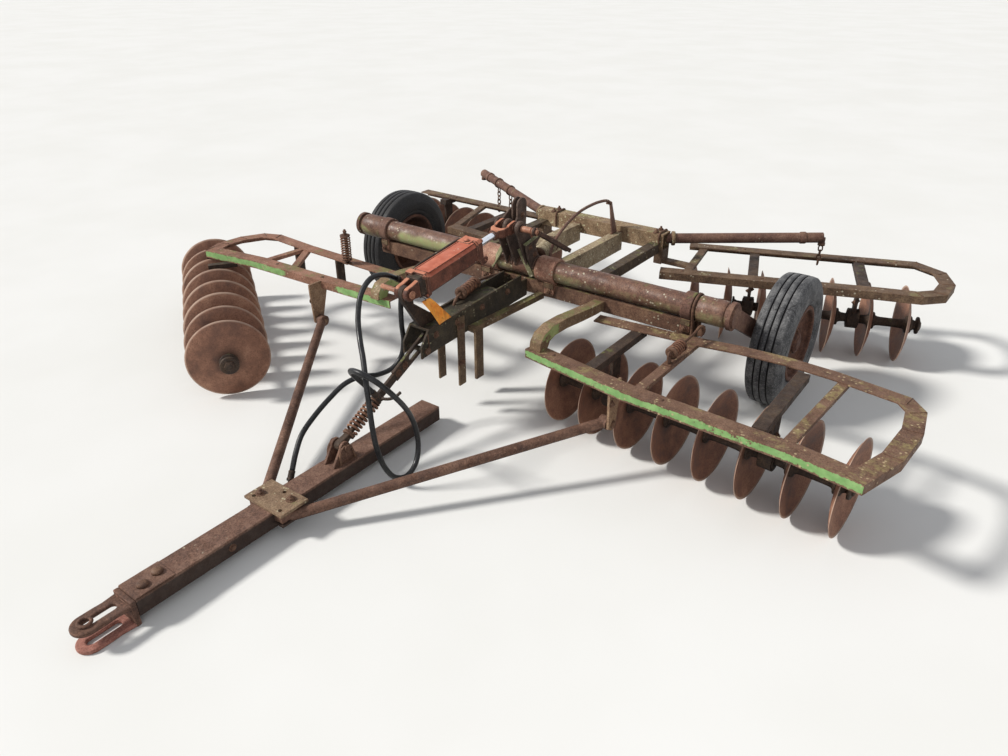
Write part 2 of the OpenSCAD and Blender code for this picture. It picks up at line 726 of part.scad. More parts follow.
module levelling_link() {
  color("#4d3428") on_link() {
    difference() {
      rotate([90, 0, 0]) translate([0, 0, -16]) linear_extrude(32) {
        circle(r = 24);
        translate([0, -12]) square([60, 24]);
      }
      rotate([90, 0, 0]) translate([0, 0, -40]) cylinder(h = 80, r = pin_r + 0.5);
    }
    rod([50, 0, 0], [300, 0, 0], 24);
    rod([260, 0, 0], [300, 0, 0], 56);
    rod([58, 0, 0], [68, 0, 0], 60);
    translate([295, -8, -22]) cube([130, 16, 44]);
    difference() {
      rotate([90, 0, 0]) translate([0, 0, -8]) linear_extrude(16) {
        translate([415, -34]) square([255, 68]);
        translate([670, 0]) circle(r = 34);
      }
      translate([535, -20, -pin_r - 4]) cube([120, 40, pin_d + 8]);
    }
  }
}

module link_spring() {
  color("#7a4a2c") on_link() translate([74, 0, 0]) rotate([0, 90, 0]) difference() {
    union() {
      for (i = [0:9]) translate([0, 0, i * 20]) rotate_extrude($fn = 24)
        translate([28, 0]) circle(r = 6, $fn = 10);
      translate([-5, 24, 0]) cube([10, 8, 180]);
      translate([0, 0, -6]) cylinder(h = 6, r = 30);
      translate([0, 0, 180]) cylinder(h = 6, r = 30);
    }
    cylinder(h = 400, r = 12.3, center = true);
  }
}

// Half a profile of one gang: discs, spools and axle on one line
module gang_profile(n, side) {
  steps = [30, 80, 120, 155, 190, disc_r];
  last = (n - 1) * disc_gap;
  translate([0, -spool_end]) square([18, last + 2 * spool_end]);
  translate([0, -spool_end + 12]) square([spool_flange_r, 14]);
  translate([0, last + spool_end - 26]) square([spool_flange_r, 14]);
  for (i = [0:n - 1]) {
    polygon(concat([[10, i * disc_gap]], [for (r = steps) [r, i * disc_gap + side * dish(r)]],
                   [for (k = [5:-1:0]) [steps[k], i * disc_gap + side * dish(steps[k]) + disc_t]],
                   [[10, i * disc_gap + disc_t]]));
    translate([0, i * disc_gap - 16]) square([spool_flange_r, 37]);
  }
  for (i = [0:n - 2]) translate([0, i * disc_gap]) square([spool_waist_r, disc_gap]);
}

module gang(g) {
  translate([g[0], g[1], disc_r]) rotate([0, 90, g[2]]) rotate_extrude($fn = 72)
    gang_profile(g[3], g[4]);
}

module front_gang_left() {
  color("#8a4b30") placed() gang(GANG_FL);
}

module front_gang_right() {
  color("#8a4b30") placed() gang(GANG_FR);
}

module rear_gang_left() {
  color("#8a4b30") placed() gang(GANG_RL);
}

module rear_gang_right() {
  color("#8a4b30") placed() gang(GANG_RR);
}

module hose_long() {
  color("#1c1c1d") placed() hose(HOSE_LONG, hose_d);
}

module hose_short() {
  color("#1c1c1d") placed() hose(HOSE_SHORT, hose_d);
}

// A coupler on the far end of a hose: ferrule, hexagon and tip
module coupler(p) {
  c = route(p, 2);
  last = c[len(c) - 1];
  v = unit(last - c[len(c) - 2]);
  rod(last, last + v * 34, 26);
  rod(last + v * 33, last + v * 46, 30);
  rod(last + v * 45, last + v * 66, 20);
}

module hose_couplers() {
  color("#3a3a3c") placed() {
    coupler(HOSE_LONG);
    coupler(HOSE_SHORT);
  }
}

cross_beam();
tube_straps();
main_rails();
side_rails();
rear_channel();
carrier_tubes();
carrier_chains();
centre_frame();
cylinder_bracket();
hanging_bars();
gooseneck_arms();
front_frame_left();
front_frame_right();
front_hangers_left();
front_hangers_right();
rear_frame_left();
rear_frame_right();
rear_hangers_left();
rear_hangers_right();
drawbar_brackets();
lift_springs();
rockshaft_tube();
lever_plates();
wheel_arms();
tyre_left();
rim_left();
tyre_right();
rim_right();
cylinder_barrel();
cylinder_rod();
tongue_beam();
hitch_clevis();
cross_plate();
brace_left();
brace_right();
link_bracket();
levelling_link();
link_spring();
front_gang_left();
front_gang_right();
rear_gang_left();
rear_gang_right();
hose_long();
hose_short();
hose_couplers();
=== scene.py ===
import bpy, bmesh, math, random
from functools import partialmethod
from mathutils import Vector, Matrix


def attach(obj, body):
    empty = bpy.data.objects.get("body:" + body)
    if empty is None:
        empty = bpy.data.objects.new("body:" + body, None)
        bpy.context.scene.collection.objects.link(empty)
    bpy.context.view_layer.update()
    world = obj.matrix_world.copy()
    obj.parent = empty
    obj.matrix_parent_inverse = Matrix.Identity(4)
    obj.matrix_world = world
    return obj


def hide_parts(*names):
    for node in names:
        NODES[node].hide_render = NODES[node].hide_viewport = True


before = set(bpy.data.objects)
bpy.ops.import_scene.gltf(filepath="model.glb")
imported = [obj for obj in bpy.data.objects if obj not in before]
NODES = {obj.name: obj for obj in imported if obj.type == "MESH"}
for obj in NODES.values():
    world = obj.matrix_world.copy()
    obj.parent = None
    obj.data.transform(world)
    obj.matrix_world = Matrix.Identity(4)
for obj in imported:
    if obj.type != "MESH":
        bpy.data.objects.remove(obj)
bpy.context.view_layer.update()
random.seed(7)

# Machine coordinates are metres with y = 0 on the rockshaft, and SHIFT takes them to the shared frame
SHIFT = Vector((.1179, .483, 0))
SHAFT_Z, SHAFT_R = .63, .0573
UP, LEFT, BACK = Vector((0, 0, 1)), Vector((1, 0, 0)), Vector((0, 1, 0))
AXIS = .0001    # radius at which a turned form closes on its axis
move = Matrix.Translation


def at(x, y, z):
    return Vector((x, y, z)) + SHIFT


def at_mm(p):
    return at(p[0] / 1000, p[1] / 1000, p[2] / 1000)


def path_at(*points):
    """Machine points as a path in the shared frame."""
    return [at(*p) for p in points]


def turn(degrees, axis):
    return Matrix.Rotation(math.radians(degrees), 4, axis)


def linked(name, data):
    """A new object in the scene."""
    ob = bpy.data.objects.new(name, data)
    bpy.context.collection.objects.link(ob)
    return ob


# Camera, fitted to the photograph
HEADING, TILT, ROLL = 36.436, 61.077, -.135
SENSOR, LENS, FAR_CLIP = 36, 27.431, 400
camera = linked("camera", bpy.data.cameras.new("camera"))
camera.location = at(2.302, -3.286, 2.122)
camera.rotation_euler = (turn(HEADING, "Z") @ turn(TILT, "X") @ turn(ROLL, "Z")).to_euler()
camera.data.sensor_width = SENSOR
camera.data.lens = LENS
camera.data.clip_end = FAR_CLIP
bpy.context.scene.camera = camera


# Paths and outlines
def unit(v):
    return v.normalized()


def spline(points, steps):
    """A smooth curve through the points, with this many steps from one to the next."""
    q = [2 * points[0] - points[1]] + list(points) + [2 * points[-1] - points[-2]]
    out = []
    for i in range(1, len(q) - 2):
        a, b, c, d = q[i - 1:i + 3]
        for k in range(steps):
            t = k / steps
            out.append((2 * b + (c - a) * t + (2 * a - 5 * b + 4 * c - d) * t * t
                        + (3 * b - a - 3 * c + d) * t ** 3) / 2)
    return out + [points[-1].copy()]


def look(point, axis, side=None):
    """Matrix at the point whose z axis runs along the axis."""
    z = unit(Vector(axis))
    x = Vector(side) if side else (LEFT if abs(z.x) < .9 else BACK)
    y = unit(z.cross(x))
    m = Matrix((y.cross(z), y, z)).transposed().to_4x4()
    m.translation = point
    return m


def circle(x, y, radius, sides=24, first=0, last=360):
    """Points round a circle, or along an arc with both its ends, from first to last in degrees."""
    count = sides if last - first == 360 else sides + 1
    angles = [math.radians(first + (last - first) * i / sides) for i in range(count)]
    return [(x + radius * math.cos(a), y + radius * math.sin(a)) for a in angles]


def side_view(x):
    """Matrix for a plate drawn in the side view (y across, z up) whose low face is at x."""
    m = Matrix(((0, 0, 1), (1, 0, 0), (0, 1, 0))).to_4x4()
    m.translation = at(x, 0, 0)
    return m


class Kit:
    """Gathers forms into one mesh. A form without a material has the piece's first one."""

    def __init__(self):
        self.points, self.faces, self.mats, self.smooth, self.own = [], [], [], [], []

    def add(self, points, faces, mat=None, smooth=False, place=None):
        first = len(self.points)
        self.points += [(place @ Vector(p)) if place else Vector(p) for p in points]
        self.own += [tuple(p) for p in points]
        self.faces += [tuple(first + i for i in face) for face in faces]
        self.mats += [mat] * len(faces)
        self.smooth += [smooth] * len(faces)

    def lathe(self, profile, place=None, sides=48, mat=None, smooth=True, closed=False):
        """Turns (radius, height) points round the z axis of a place."""
        points, faces, k = [], [], len(profile)
        for i in range(sides):
            a = 2 * math.pi * i / sides
            points += [(r * math.cos(a), r * math.sin(a), z) for r, z in profile]
        for i in range(sides):
            j = (i + 1) % sides
            for p in range(k if closed else k - 1):
                q = (p + 1) % k
                faces.append((i * k + p, j * k + p, j * k + q, i * k + q))
        self.add(points, faces, mat, smooth, place)

    def ring(self, profile, place, sides, mat=None):
        """Turns a closed profile."""
        self.lathe(profile, place, sides, mat, closed=True)

    def collar(self, bore, rim, low, high, place, sides, mat=None, bevel=0, rise=0):
        """A ring with bevelled rims, from low to high on the place's z axis."""
        outer = [(rim - bevel, low), (rim, low + rise), (rim, high - rise), (rim - bevel, high)]
        if not rise:
            outer = [(rim, low), (rim, high)]
        self.ring([(bore, low)] + outer + [(bore, high)], place, sides, mat)

    def rod(self, start, end, radius, mat=None, sides=24, bevel=.0015, place=None):
        """A round bar with small edge bevels."""
        start, end = Vector(start), Vector(end)
        h = (end - start).length
        e = min(bevel, radius * .45, h * .3)
        own = look(start, end - start)
        self.lathe([(AXIS, 0), (radius - e, 0), (radius, e), (radius, h - e), (radius - e, h), (AXIS, h)],
                   (place @ own) if place else own, sides, mat)

    def hexa(self, point, axis, radius, height, mat=None, angle=0):
        """A nut or bolt head with a chamfered top, its radius across the corners."""
        self.lathe([(AXIS, 0), (radius, 0), (radius, height * .78), (radius * .86, height), (AXIS, height)],
                   look(point, axis) @ Matrix.Rotation(angle, 4, "Z"), 6, mat, False)

    def bolt(self, point, axis, radius=.011, mat=None, stub=0):
        """Washer, nut and, with stub, the bolt's end above it."""
        point, axis = Vector(point), unit(Vector(axis))
        self.lathe([(AXIS, 0), (radius * 1.7, 0), (radius * 1.7, .0022), (AXIS, .0025)],
                   look(point, axis), 20, mat, False)
        self.hexa(point + axis * .0022, axis, radius * 1.15, radius * .8, mat, random.random())
        if stub:
            self.rod(point + axis * .002, point + axis * (radius * .8 + stub), radius * .52, mat, 12)

    def sweep(self, path, radius=0, mat=None, sides=12, cap=True, flat=None, up=None):
        """A round bar along a path, or a flat one with flat=(width, height)."""
        k = len(path)
        ahead = [unit(path[min(i + 1, k - 1)] - path[max(i - 1, 0)]) for i in range(k)]
        n = Vector(up) if up else (Vector((.1, .2, 1)) if abs(ahead[0].z) < .9 else Vector((1, .1, 0)))
        turns = [2 * math.pi * j / sides for j in range(sides)]
        round_ring = [(math.cos(a), math.sin(a)) for a in turns]
        points, faces = [], []
        for i in range(k):
            n = unit(n - ahead[i] * n.dot(ahead[i]))
            b = ahead[i].cross(n)
            if flat:
                w, h = flat[0] / 2, flat[1] / 2
                e = min(w, h) * .28
                ring = [(-w, -h + e), (-w + e, -h), (w - e, -h), (w, -h + e),
                        (w, h - e), (w - e, h), (-w + e, h), (-w, h - e)]
                points += [path[i] + b * x + n * y for x, y in ring]
            else:
                r = radius[i] if isinstance(radius, (list, tuple)) else radius
                points += [path[i] + (n * c + b * s) * r for c, s in round_ring]
        m = 8 if flat else sides
        for i in range(k - 1):
            for j in range(m):
                q = (j + 1) % m
                faces.append((i * m + j, i * m + q, (i + 1) * m + q, (i + 1) * m + j))
        if cap:
            faces.append(tuple(range(m - 1, -1, -1)))
            faces.append(tuple((k - 1) * m + j for j in range(m)))
        self.add(points, faces, mat, not flat)

    def helix(self, start, end, radius, wire, turns, sides=10, jitter=.001):
        """A coil spring between two points, a little uneven by the jitter."""
        steps = 24
        place, h = look(start, end - start), (end - start).length
        path = []
        for i in range(int(turns * steps) + 1):
            a = 2 * math.pi * i / steps
            x = radius * math.cos(a) + jitter * math.sin(a * .37 + 1)
            path.append(place @ Vector((x, radius * math.sin(a), h * i / (turns * steps))))
        self.sweep(path, wire, sides=sides)

    def box(self, low, high, bevel=.002, mat=None, place=None):
        """A box between two corners with bevelled edges."""
        size = [abs(b - a) for a, b in zip(low, high)]
        bm = bmesh.new()
        bmesh.ops.create_cube(bm, size=1)
        for v in bm.verts:
            v.co = Vector([(low[i] + high[i]) / 2 + v.co[i] * (high[i] - low[i]) for i in range(3)])
        bmesh.ops.bevel(bm, geom=bm.edges[:], offset=min(bevel, min(size) * .3), segments=2,
                        affect="EDGES", profile=.6)
        self.grab(bm, mat, place)

    def grab(self, bm, mat, place):
        """Takes in a bmesh."""
        bm.verts.index_update()
        self.add([v.co.copy() for v in bm.verts], [[v.index for v in f.verts] for f in bm.faces],
                 mat, False, place)
        bm.free()

    def plate(self, outlines, thick, place=None, bevel=.002, mat=None):
        """A plate with holes: its first outline is the edge, the rest are holes, z from 0 to thick."""
        curve = bpy.data.curves.new("tmp", "CURVE")
        curve.dimensions, curve.fill_mode = "2D", "BOTH"
        e = min(bevel, thick * .3)
        curve.extrude, curve.bevel_depth, curve.bevel_resolution = thick / 2 - e, e, 1
        curve.offset = -e
        for outline in outlines:
            line = curve.splines.new("POLY")
            line.points.add(len(outline) - 1)
            for point, (x, y) in zip(line.points, outline):
                point.co = (x, y, 0, 1)
            line.use_cyclic_u = True
        ob = linked("tmp", curve)
        bm = bmesh.new()
        bm.from_mesh(ob.evaluated_get(bpy.context.evaluated_depsgraph_get()).to_mesh())
        bmesh.ops.remove_doubles(bm, verts=bm.verts[:], dist=1e-5)
        middle = move((0, 0, thick / 2))
        self.grab(bm, mat, (place @ middle) if place else middle)
        bpy.data.objects.remove(ob)
        bpy.data.curves.remove(curve)

    def bead(self, start, end, radius=.005, mat=None, seed=0):
        """A weld bead between two points."""
        n = max(6, int((end - start).length / .005))
        draw = random.Random(seed)
        self.sweep([start.lerp(end, i / n) for i in range(n + 1)],
                   [radius * (.75 + .35 * draw.random()) for _ in range(n + 1)], mat, 7)

    def make(self, name, mats, body, replaces=(), own=False, thick=0):
        """Makes the piece. With own, it carries its forms' own coordinates for the material."""
        mesh = bpy.data.meshes.new(name)
        mesh.from_pydata([tuple(p) for p in self.points], [], self.faces)
        for mat in mats:
            mesh.materials.append(mat)
        order = {mat: i for i, mat in enumerate(mats)}
        mesh.polygons.foreach_set("material_index", [order[mat or mats[0]] for mat in self.mats])
        mesh.polygons.foreach_set("use_smooth", self.smooth)
        if own:
            row = mesh.attributes.new("own", "FLOAT_VECTOR", "POINT")
            row.data.foreach_set("vector", [c for p in self.own for c in p])
        bm = bmesh.new()
        bm.from_mesh(mesh)
        bmesh.ops.recalc_face_normals(bm, faces=bm.faces[:])
        bm.to_mesh(mesh)
        bm.free()
        mesh.update()
        ob = linked(name, mesh)
        if thick:
            ob.modifiers.new("thick", "SOLIDIFY").thickness = thick
        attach(ob, body)
        if replaces:
            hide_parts(*replaces)
        return ob


# Materials
def rgb(color):
    """Linear colour from 0..255 screen values."""
    parts = [c / 255 for c in color]
    return tuple(c / 12.92 if c <= .04045 else ((c + .055) / 1.055) ** 2.4 for c in parts) + (1,)


def shade(color, k):
    return rgb([c * k for c in color])


class Mat:
    """A procedural material and its nodes."""

    def __init__(self, name):
        self.material = bpy.data.materials.new(name)
        self.material.use_nodes = True
        self.tree = self.material.node_tree
        self.shader = self.tree.nodes["Principled BSDF"]
        spots = self.new("ShaderNodeTexCoord").outputs
        self.here, self.normal = spots["Object"], spots["Normal"]

    def new(self, kind, **props):
        node = self.tree.nodes.new(kind)
        for key, value in props.items():
            setattr(node, key, value)
        return node

    def put(self, socket, value):
        if isinstance(value, bpy.types.NodeSocket):
            self.tree.links.new(value, socket)
        else:
            socket.default_value = value

    def filled(self, kind, *values, **props):
        """The outputs of a new node whose first inputs are filled in order."""
        node = self.new(kind, **props)
        for socket, value in zip(node.inputs, values):
            self.put(socket, value)
        return node.outputs

    def noise(self, scale, detail=5, rough=.6, vec=None, dist=0):
        node = self.new("ShaderNodeTexNoise")
        for key, value in (("Vector", vec or self.here), ("Scale", scale), ("Detail", detail),
                           ("Roughness", rough), ("Distortion", dist)):
            self.put(node.inputs[key], value)
        return node.outputs[0]

    def cells(self, scale, vec=None, feature="F1"):
        node = self.new("ShaderNodeTexVoronoi", feature=feature)
        for key, value in (("Vector", vec or self.here), ("Scale", scale)):
            self.put(node.inputs[key], value)
        return node.outputs["Distance"]

    def math(self, op, a, b=0.):
        return self.filled("ShaderNodeMath", a, b, operation=op)[0]

    add = partialmethod(math, "ADD")
    sub = partialmethod(math, "SUBTRACT")
    mul = partialmethod(math, "MULTIPLY")

    def span(self, value, low, high, first=0., last=1.):
        """Smooth step from first to last as the value goes from low to high."""
        kind = {"interpolation_type": "SMOOTHSTEP"}
        return self.filled("ShaderNodeMapRange", value, low, high, first, last, **kind)[0]

    def scaled(self, vec, k):
        return self.filled("ShaderNodeVectorMath", vec, k, operation="MULTIPLY")[0]

    def xyz(self, vec):
        return self.filled("ShaderNodeSeparateXYZ", vec)

    def ramp(self, value, stops):
        node = self.new("ShaderNodeValToRGB")
        marks = node.color_ramp.elements
        while len(marks) < len(stops):
            marks.new(.5)
        for mark, (position, color) in zip(marks, stops):
            mark.position, mark.color = position, rgb(color)
        self.put(node.inputs[0], value)
        return node.outputs[0]

    def mix(self, value, a, b, blend="MIX"):
        node = self.new("ShaderNodeMix", data_type="RGBA", blend_type=blend)
        for i, v in ((0, value), (6, a), (7, b)):
            self.put(node.inputs[i], v)
        return node.outputs[2]

    def bump(self, height, strength, dist, normal=None):
        node = self.new("ShaderNodeBump")
        self.put(node.inputs["Height"], height)
        node.inputs["Strength"].default_value = strength
        node.inputs["Distance"].default_value = dist
        if normal:
            self.put(node.inputs["Normal"], normal)
        return node.outputs[0]

    def edges(self, radius):
        """Rounded normal, and a mask that is 1 on hard edges."""
        bevel = self.filled("ShaderNodeBevel", radius, samples=4)[0]
        true_normal = self.new("ShaderNodeNewGeometry").outputs["Normal"]
        dot = self.filled("ShaderNodeVectorMath", bevel, true_normal, operation="DOT_PRODUCT")
        return bevel, self.span(dot["Value"], .985, .8)

    def done(self, color, rough, normal=None, metal=0., spec=.5):
        for key, value in (("Base Color", color), ("Roughness", rough), ("Metallic", metal)):
            self.put(self.shader.inputs[key], value)
        self.shader.inputs["Specular IOR Level"].default_value = spec
        if normal:
            self.put(self.shader.inputs["Normal"], normal)
        return self.material


def paint_face(m, where, along, up):
    """1 on the faces that keep their paint."""
    if where == "side":
        return m.span(m.math("ABSOLUTE", up), .75, .35)
    if where == "front":
        return m.mul(m.span(along, -.5, -.85), m.span(m.xyz(m.here)[1], -.02, -.08))
    return 1.


def paint_flakes(m, edge, up, keep, soft, where, region, band, painted_sunlit_tops):
    """Ragged mask of the paint that is left, more of it in the parts of a region or in a band, and with
    painted sunlight more of it on faces that look up and less on the sides, so that tops stay pale and sides
    turn to dark rust as painted shade.
    """
    left = m.add(m.mul(m.noise(9, 9, .72, dist=.4), .7), m.mul(m.noise(2.3, 3, .5), .3))
    left = m.sub(left, m.mul(edge, .16))
    if region:
        axis, parts = region
        spot = m.xyz(m.here)[axis]
        most = None
        for low, high, share in parts:
            inside = m.mul(m.span(spot, low - .06, low + .06), m.span(spot, high + .06, high - .06))
            inside = m.mul(inside, share)
            most = inside if most is None else m.math("MAXIMUM", most, inside)
        left = m.add(left, m.sub(most, .5))
    if band:
        low, high = band
        z = m.xyz(m.here)[2]
        inside = m.mul(m.span(z, low - .008, low + .008), m.span(z, high + .007, high - .007))
        ragged = m.mul(m.sub(m.noise(52, 6, .75), .5), .75)
        left = m.add(m.add(left, ragged), m.span(inside, 0, 1, -.22, .02))
    if where == "low":
        left = m.add(left, m.span(up, .85, 0, -.26, .12))
    # painted sunlight and shade: paint is kept on faces that look up and lost on the sides
    if painted_sunlit_tops:
        left = m.add(left, m.span(up, -.2, .9, -painted_sunlit_tops, painted_sunlit_tops * .6))
    return m.span(left, 1 - keep - soft, 1 - keep + soft)


def rusty(name, dark, mid, light, paint=None, keep=.5, where="side", moss=0., moss_color=(104, 108, 62),
          lichen=0., spot=(176, 168, 146), edge=(120, 84, 62), painted_underside_shade=.55, rough=(.62, .9), relief=1.,
          region=None, hard=.004, grain=1., soft=.012, painted_sunlit_tops=0., band=None, painted_low_shade=None):
    """Weathered steel: three rust tones with fine grain, flaking paint, moss on top and pale lichen; painted
    shade on faces that look down and below a height line, and painted sunlight that keeps paint on faces that
    look up.
    """
    m = Mat(name)
    along, up = m.xyz(m.normal)[1:]
    big = m.noise(4.2 * grain, 4, .6)
    patchy = m.noise(19 * grain, 7, .68)
    fine = m.noise(150 * grain, 3, .6)
    tone = m.add(m.mul(big, .45), m.mul(patchy, .55))
    color = m.ramp(tone, [(.32, dark), (.5, mid), (.68, light)])
    color = m.mix(m.span(fine, .35, .7, 0, .55), color, rgb(dark), "MULTIPLY")
    color = m.mix(m.span(m.noise(55 * grain, 4, .7), .56, .7, 0, .5), color, rgb(light))
    raised = m.mul(patchy, .6)
    normal, edge_mask = m.edges(hard)
    if paint:
        face = paint_face(m, where, along, up)
        on = m.mul(paint_flakes(m, edge_mask, up, keep, soft, where, region, band, painted_sunlit_tops), face)
        coat = m.mix(m.span(m.noise(26, 5, .6), .3, .75), rgb(paint[0]), rgb(paint[1]))
        coat = m.mix(m.span(fine, .6, .72, 0, .35), coat, rgb(mid))
        color = m.mix(on, color, coat)
        raised = m.add(raised, m.mul(on, .8))
    if moss:
        grow = m.add(m.noise(7.5, 8, .7), m.mul(m.span(up, -.2, .9), .12))
        grown = m.mul(m.span(grow, .74 - moss * .3, .84 - moss * .3), m.span(m.noise(70, 3, .6), .3, .55))
        color = m.mix(m.mul(grown, .8), color, rgb(moss_color))
        raised = m.add(raised, m.mul(grown, .5))
    if lichen:
        few = lichen * .25
        dots = m.mul(m.span(m.cells(46), .30, .16), m.span(m.noise(11, 5, .6), .62 - few, .7 - few))
        color = m.mix(m.mul(dots, .85), color, rgb(spot))
    color = m.mix(m.mul(edge_mask, m.span(m.noise(30, 4), .35, .6, 0, .8)), color, rgb(edge))
    # painted shade: faces that look down are darkened towards a dark rust tone
    color = m.mix(m.span(up, -.15, -.7, 0, painted_underside_shade), color, shade(dark, .45))
    # painted shade: all faces below a height line are darkened nearly to black-brown, for a side that stands
    # in shadow
    if painted_low_shade:
        line, depth = painted_low_shade
        color = m.mix(m.span(m.xyz(m.here)[2], line, line - .012, 0, depth), color, rgb((34, 25, 20)))
    pits = m.add(raised, m.mul(m.add(fine, m.noise(60 * grain, 5, .7)), .35))
    return m.done(color, m.span(m.noise(24, 5, .6), .3, .7, *rough),
                  m.bump(pits, .55 * relief, .0022, normal), spec=.35)


TUBE = rusty("old_pipe", (68, 45, 37), (106, 75, 61), (142, 109, 89),
             paint=((146, 138, 100), (142, 156, 104)), keep=.42, where="low", soft=.17, lichen=.6, moss=.15,
             region=(0, [(-.78, -.06, .62), (-1.2, 1.4, .38)]), rough=(.42, .72), relief=.6, painted_underside_shade=.4)
BAND = rusty("strap_band", (108, 76, 62), (158, 116, 97), (194, 158, 134), moss=.12,
             moss_color=(142, 132, 98), lichen=.3, edge=(70, 48, 40), relief=.7)
BEAM = rusty("old_beam", (64, 44, 35), (102, 74, 58), (138, 108, 85), moss=.42,
             moss_color=(116, 112, 68), lichen=.3, rough=(.6, .85))
STRAP = rusty("old_strap", (62, 48, 38), (100, 80, 60), (136, 118, 90), moss=.55,
              moss_color=(118, 118, 72), lichen=.25)
RAIL = rusty("mossy_rail", (100, 84, 64), (150, 132, 106), (188, 172, 142), moss=.2,
             moss_color=(144, 136, 98), lichen=.85, spot=(194, 188, 158))
DARK_RAIL = rusty("dark_rail", (44, 36, 29), (74, 60, 46), (104, 90, 68), moss=.35, lichen=.35)
CHANNEL = rusty("rear_channel_steel", (96, 78, 58), (138, 114, 88), (172, 150, 120), moss=.34,
                moss_color=(134, 130, 90), lichen=.8, spot=(186, 180, 146))
CARRIER = rusty("carrier_pipe", (74, 52, 43), (108, 78, 66), (140, 110, 92), lichen=.25, moss=.18, relief=.7)
DARK = rusty("dark_steel_rust", (34, 26, 21), (58, 45, 36), (88, 70, 55), moss=.2, lichen=.15)
LEVER_STEEL = rusty("lever_steel", (46, 35, 30), (82, 65, 56), (120, 99, 86), moss=.1,
                    edge=(188, 162, 148), hard=.003, relief=.7)
PALE = rusty("pale_leg_steel", (84, 78, 58), (122, 118, 88), (164, 164, 126), moss=.5,
             moss_color=(140, 148, 100), lichen=.5, edge=(190, 186, 156))
CENTRE = rusty("centre_frame_steel", (30, 25, 19), (54, 46, 35), (84, 74, 56), moss=.4,
               moss_color=(76, 80, 48), lichen=.45, spot=(132, 128, 104))
ARM = rusty("gooseneck_steel", (90, 70, 50), (130, 106, 80), (164, 140, 110),
            paint=((136, 150, 92), (158, 166, 110)), keep=.4, moss=.5, lichen=.4,
            region=(1, [(-.17, .05, .66), (-.8, .5, .36)]))
GREEN_FACE = {"band": (.463, .494), "where": "front", "soft": .008}
GREEN_L = rusty("green_bar_left", (76, 52, 41), (112, 84, 67), (142, 112, 92), keep=.56,
                paint=((104, 142, 84), (130, 164, 104)), region=(0, [(.55, 2.4, .54)]), moss=.36,
                moss_color=(136, 122, 82), lichen=.6, spot=(170, 152, 118), edge=(116, 80, 62), **GREEN_FACE)
GREEN_R = rusty("green_bar_right", (88, 60, 48), (138, 100, 80), (170, 126, 106), keep=.58,
                paint=((112, 148, 88), (140, 174, 112)), moss=.26, lichen=.4, spot=(172, 150, 124),
                region=(0, [(-2.2, -1.13, .62), (-1.13, -.75, .2), (-.75, -.1, .58)]),
                edge=(124, 86, 68), **GREEN_FACE)
GREEN_B = rusty("green_bar_rear", (62, 46, 36), (98, 76, 58), (134, 110, 86),
                paint=((108, 124, 76), (138, 144, 98)), keep=.36, moss=.28, moss_color=(116, 108, 72),
                lichen=.35)
HANGER = rusty("hanger_steel", (38, 29, 24), (62, 48, 39), (92, 74, 58), moss=.1)
TAN = rusty("tan_bracket", (104, 80, 62), (140, 112, 88), (166, 140, 112), lichen=.2, relief=.7)
BRACE = rusty("brace_pipe", (68, 46, 37), (102, 74, 60), (136, 104, 86), relief=.9)
# The tongue's sides carry painted shade: near-black below a line just under its top, and darker faces that
# look down
TONGUE = rusty("tongue_steel", (78, 56, 46), (112, 83, 69), (142, 112, 95), relief=.7, lichen=.12,
               painted_underside_shade=.7, painted_low_shade=(.112, .85))
PLATE = rusty("tongue_plate", (98, 78, 60), (132, 108, 86), (162, 140, 112), moss=.2, lichen=.75,
              spot=(180, 172, 144))
FORGED = rusty("forged_clevis", (66, 44, 35), (102, 74, 60), (146, 106, 88), relief=.8, edge=(176, 136, 116))
SPRING = rusty("spring_wire", (74, 46, 34), (118, 80, 60), (160, 122, 96), rough=(.5, .8), relief=.6,
               hard=.001)
OLD_COIL = rusty("old_coil_wire", (116, 102, 82), (162, 148, 122), (196, 184, 156), rough=(.6, .85),
                 moss=.15, lichen=.4, hard=.001)
BOLT = rusty("rusty_bolt", (62, 42, 33), (100, 72, 56), (134, 104, 82), relief=.6, hard=.0012, grain=2)
PIN = rusty("rusty_pin", (112, 68, 52), (166, 116, 90), (208, 160, 134), rough=(.4, .65), relief=.6,
            grain=1.6)
# The red cylinder keeps its paint on top and loses it on the sides as painted sunlight and shade
RED = rusty("red_orange_paint", (56, 34, 27), (96, 57, 44), (134, 82, 64),
            paint=((166, 86, 62), (190, 112, 88)), keep=.46, where="all", edge=(186, 128, 106),
            rough=(.42, .68), relief=.5, painted_underside_shade=.5, lichen=.12, spot=(206, 184, 168), painted_sunlit_tops=.4)
# painted sunlight and shade for the cast heads and lugs: paint on their tops, dark rust on their sides
RED_CAST = {"where": "all", "rough": (.5, .75), "grain": 1.4, "painted_sunlit_tops": .42}
RED_HEAD = rusty("red_head_rust", (60, 36, 29), (98, 60, 47), (142, 92, 72), relief=.9, keep=.4,
                 paint=((170, 98, 74), (190, 122, 96)), edge=(196, 148, 122), **RED_CAST)
LUG = rusty("lug_rust", (58, 35, 28), (98, 60, 46), (140, 92, 71), relief=.8, keep=.38, painted_underside_shade=.7,
            paint=((170, 108, 82), (190, 132, 104)), edge=(206, 158, 132), **RED_CAST)
STOP_STEEL = rusty("stop_strap_steel", (42, 29, 23), (70, 49, 39), (104, 76, 61), edge=(172, 134, 112),
                   hard=.003)
RIM = rusty("rusty_rim", (54, 33, 25), (86, 56, 43), (122, 84, 64), relief=.8)


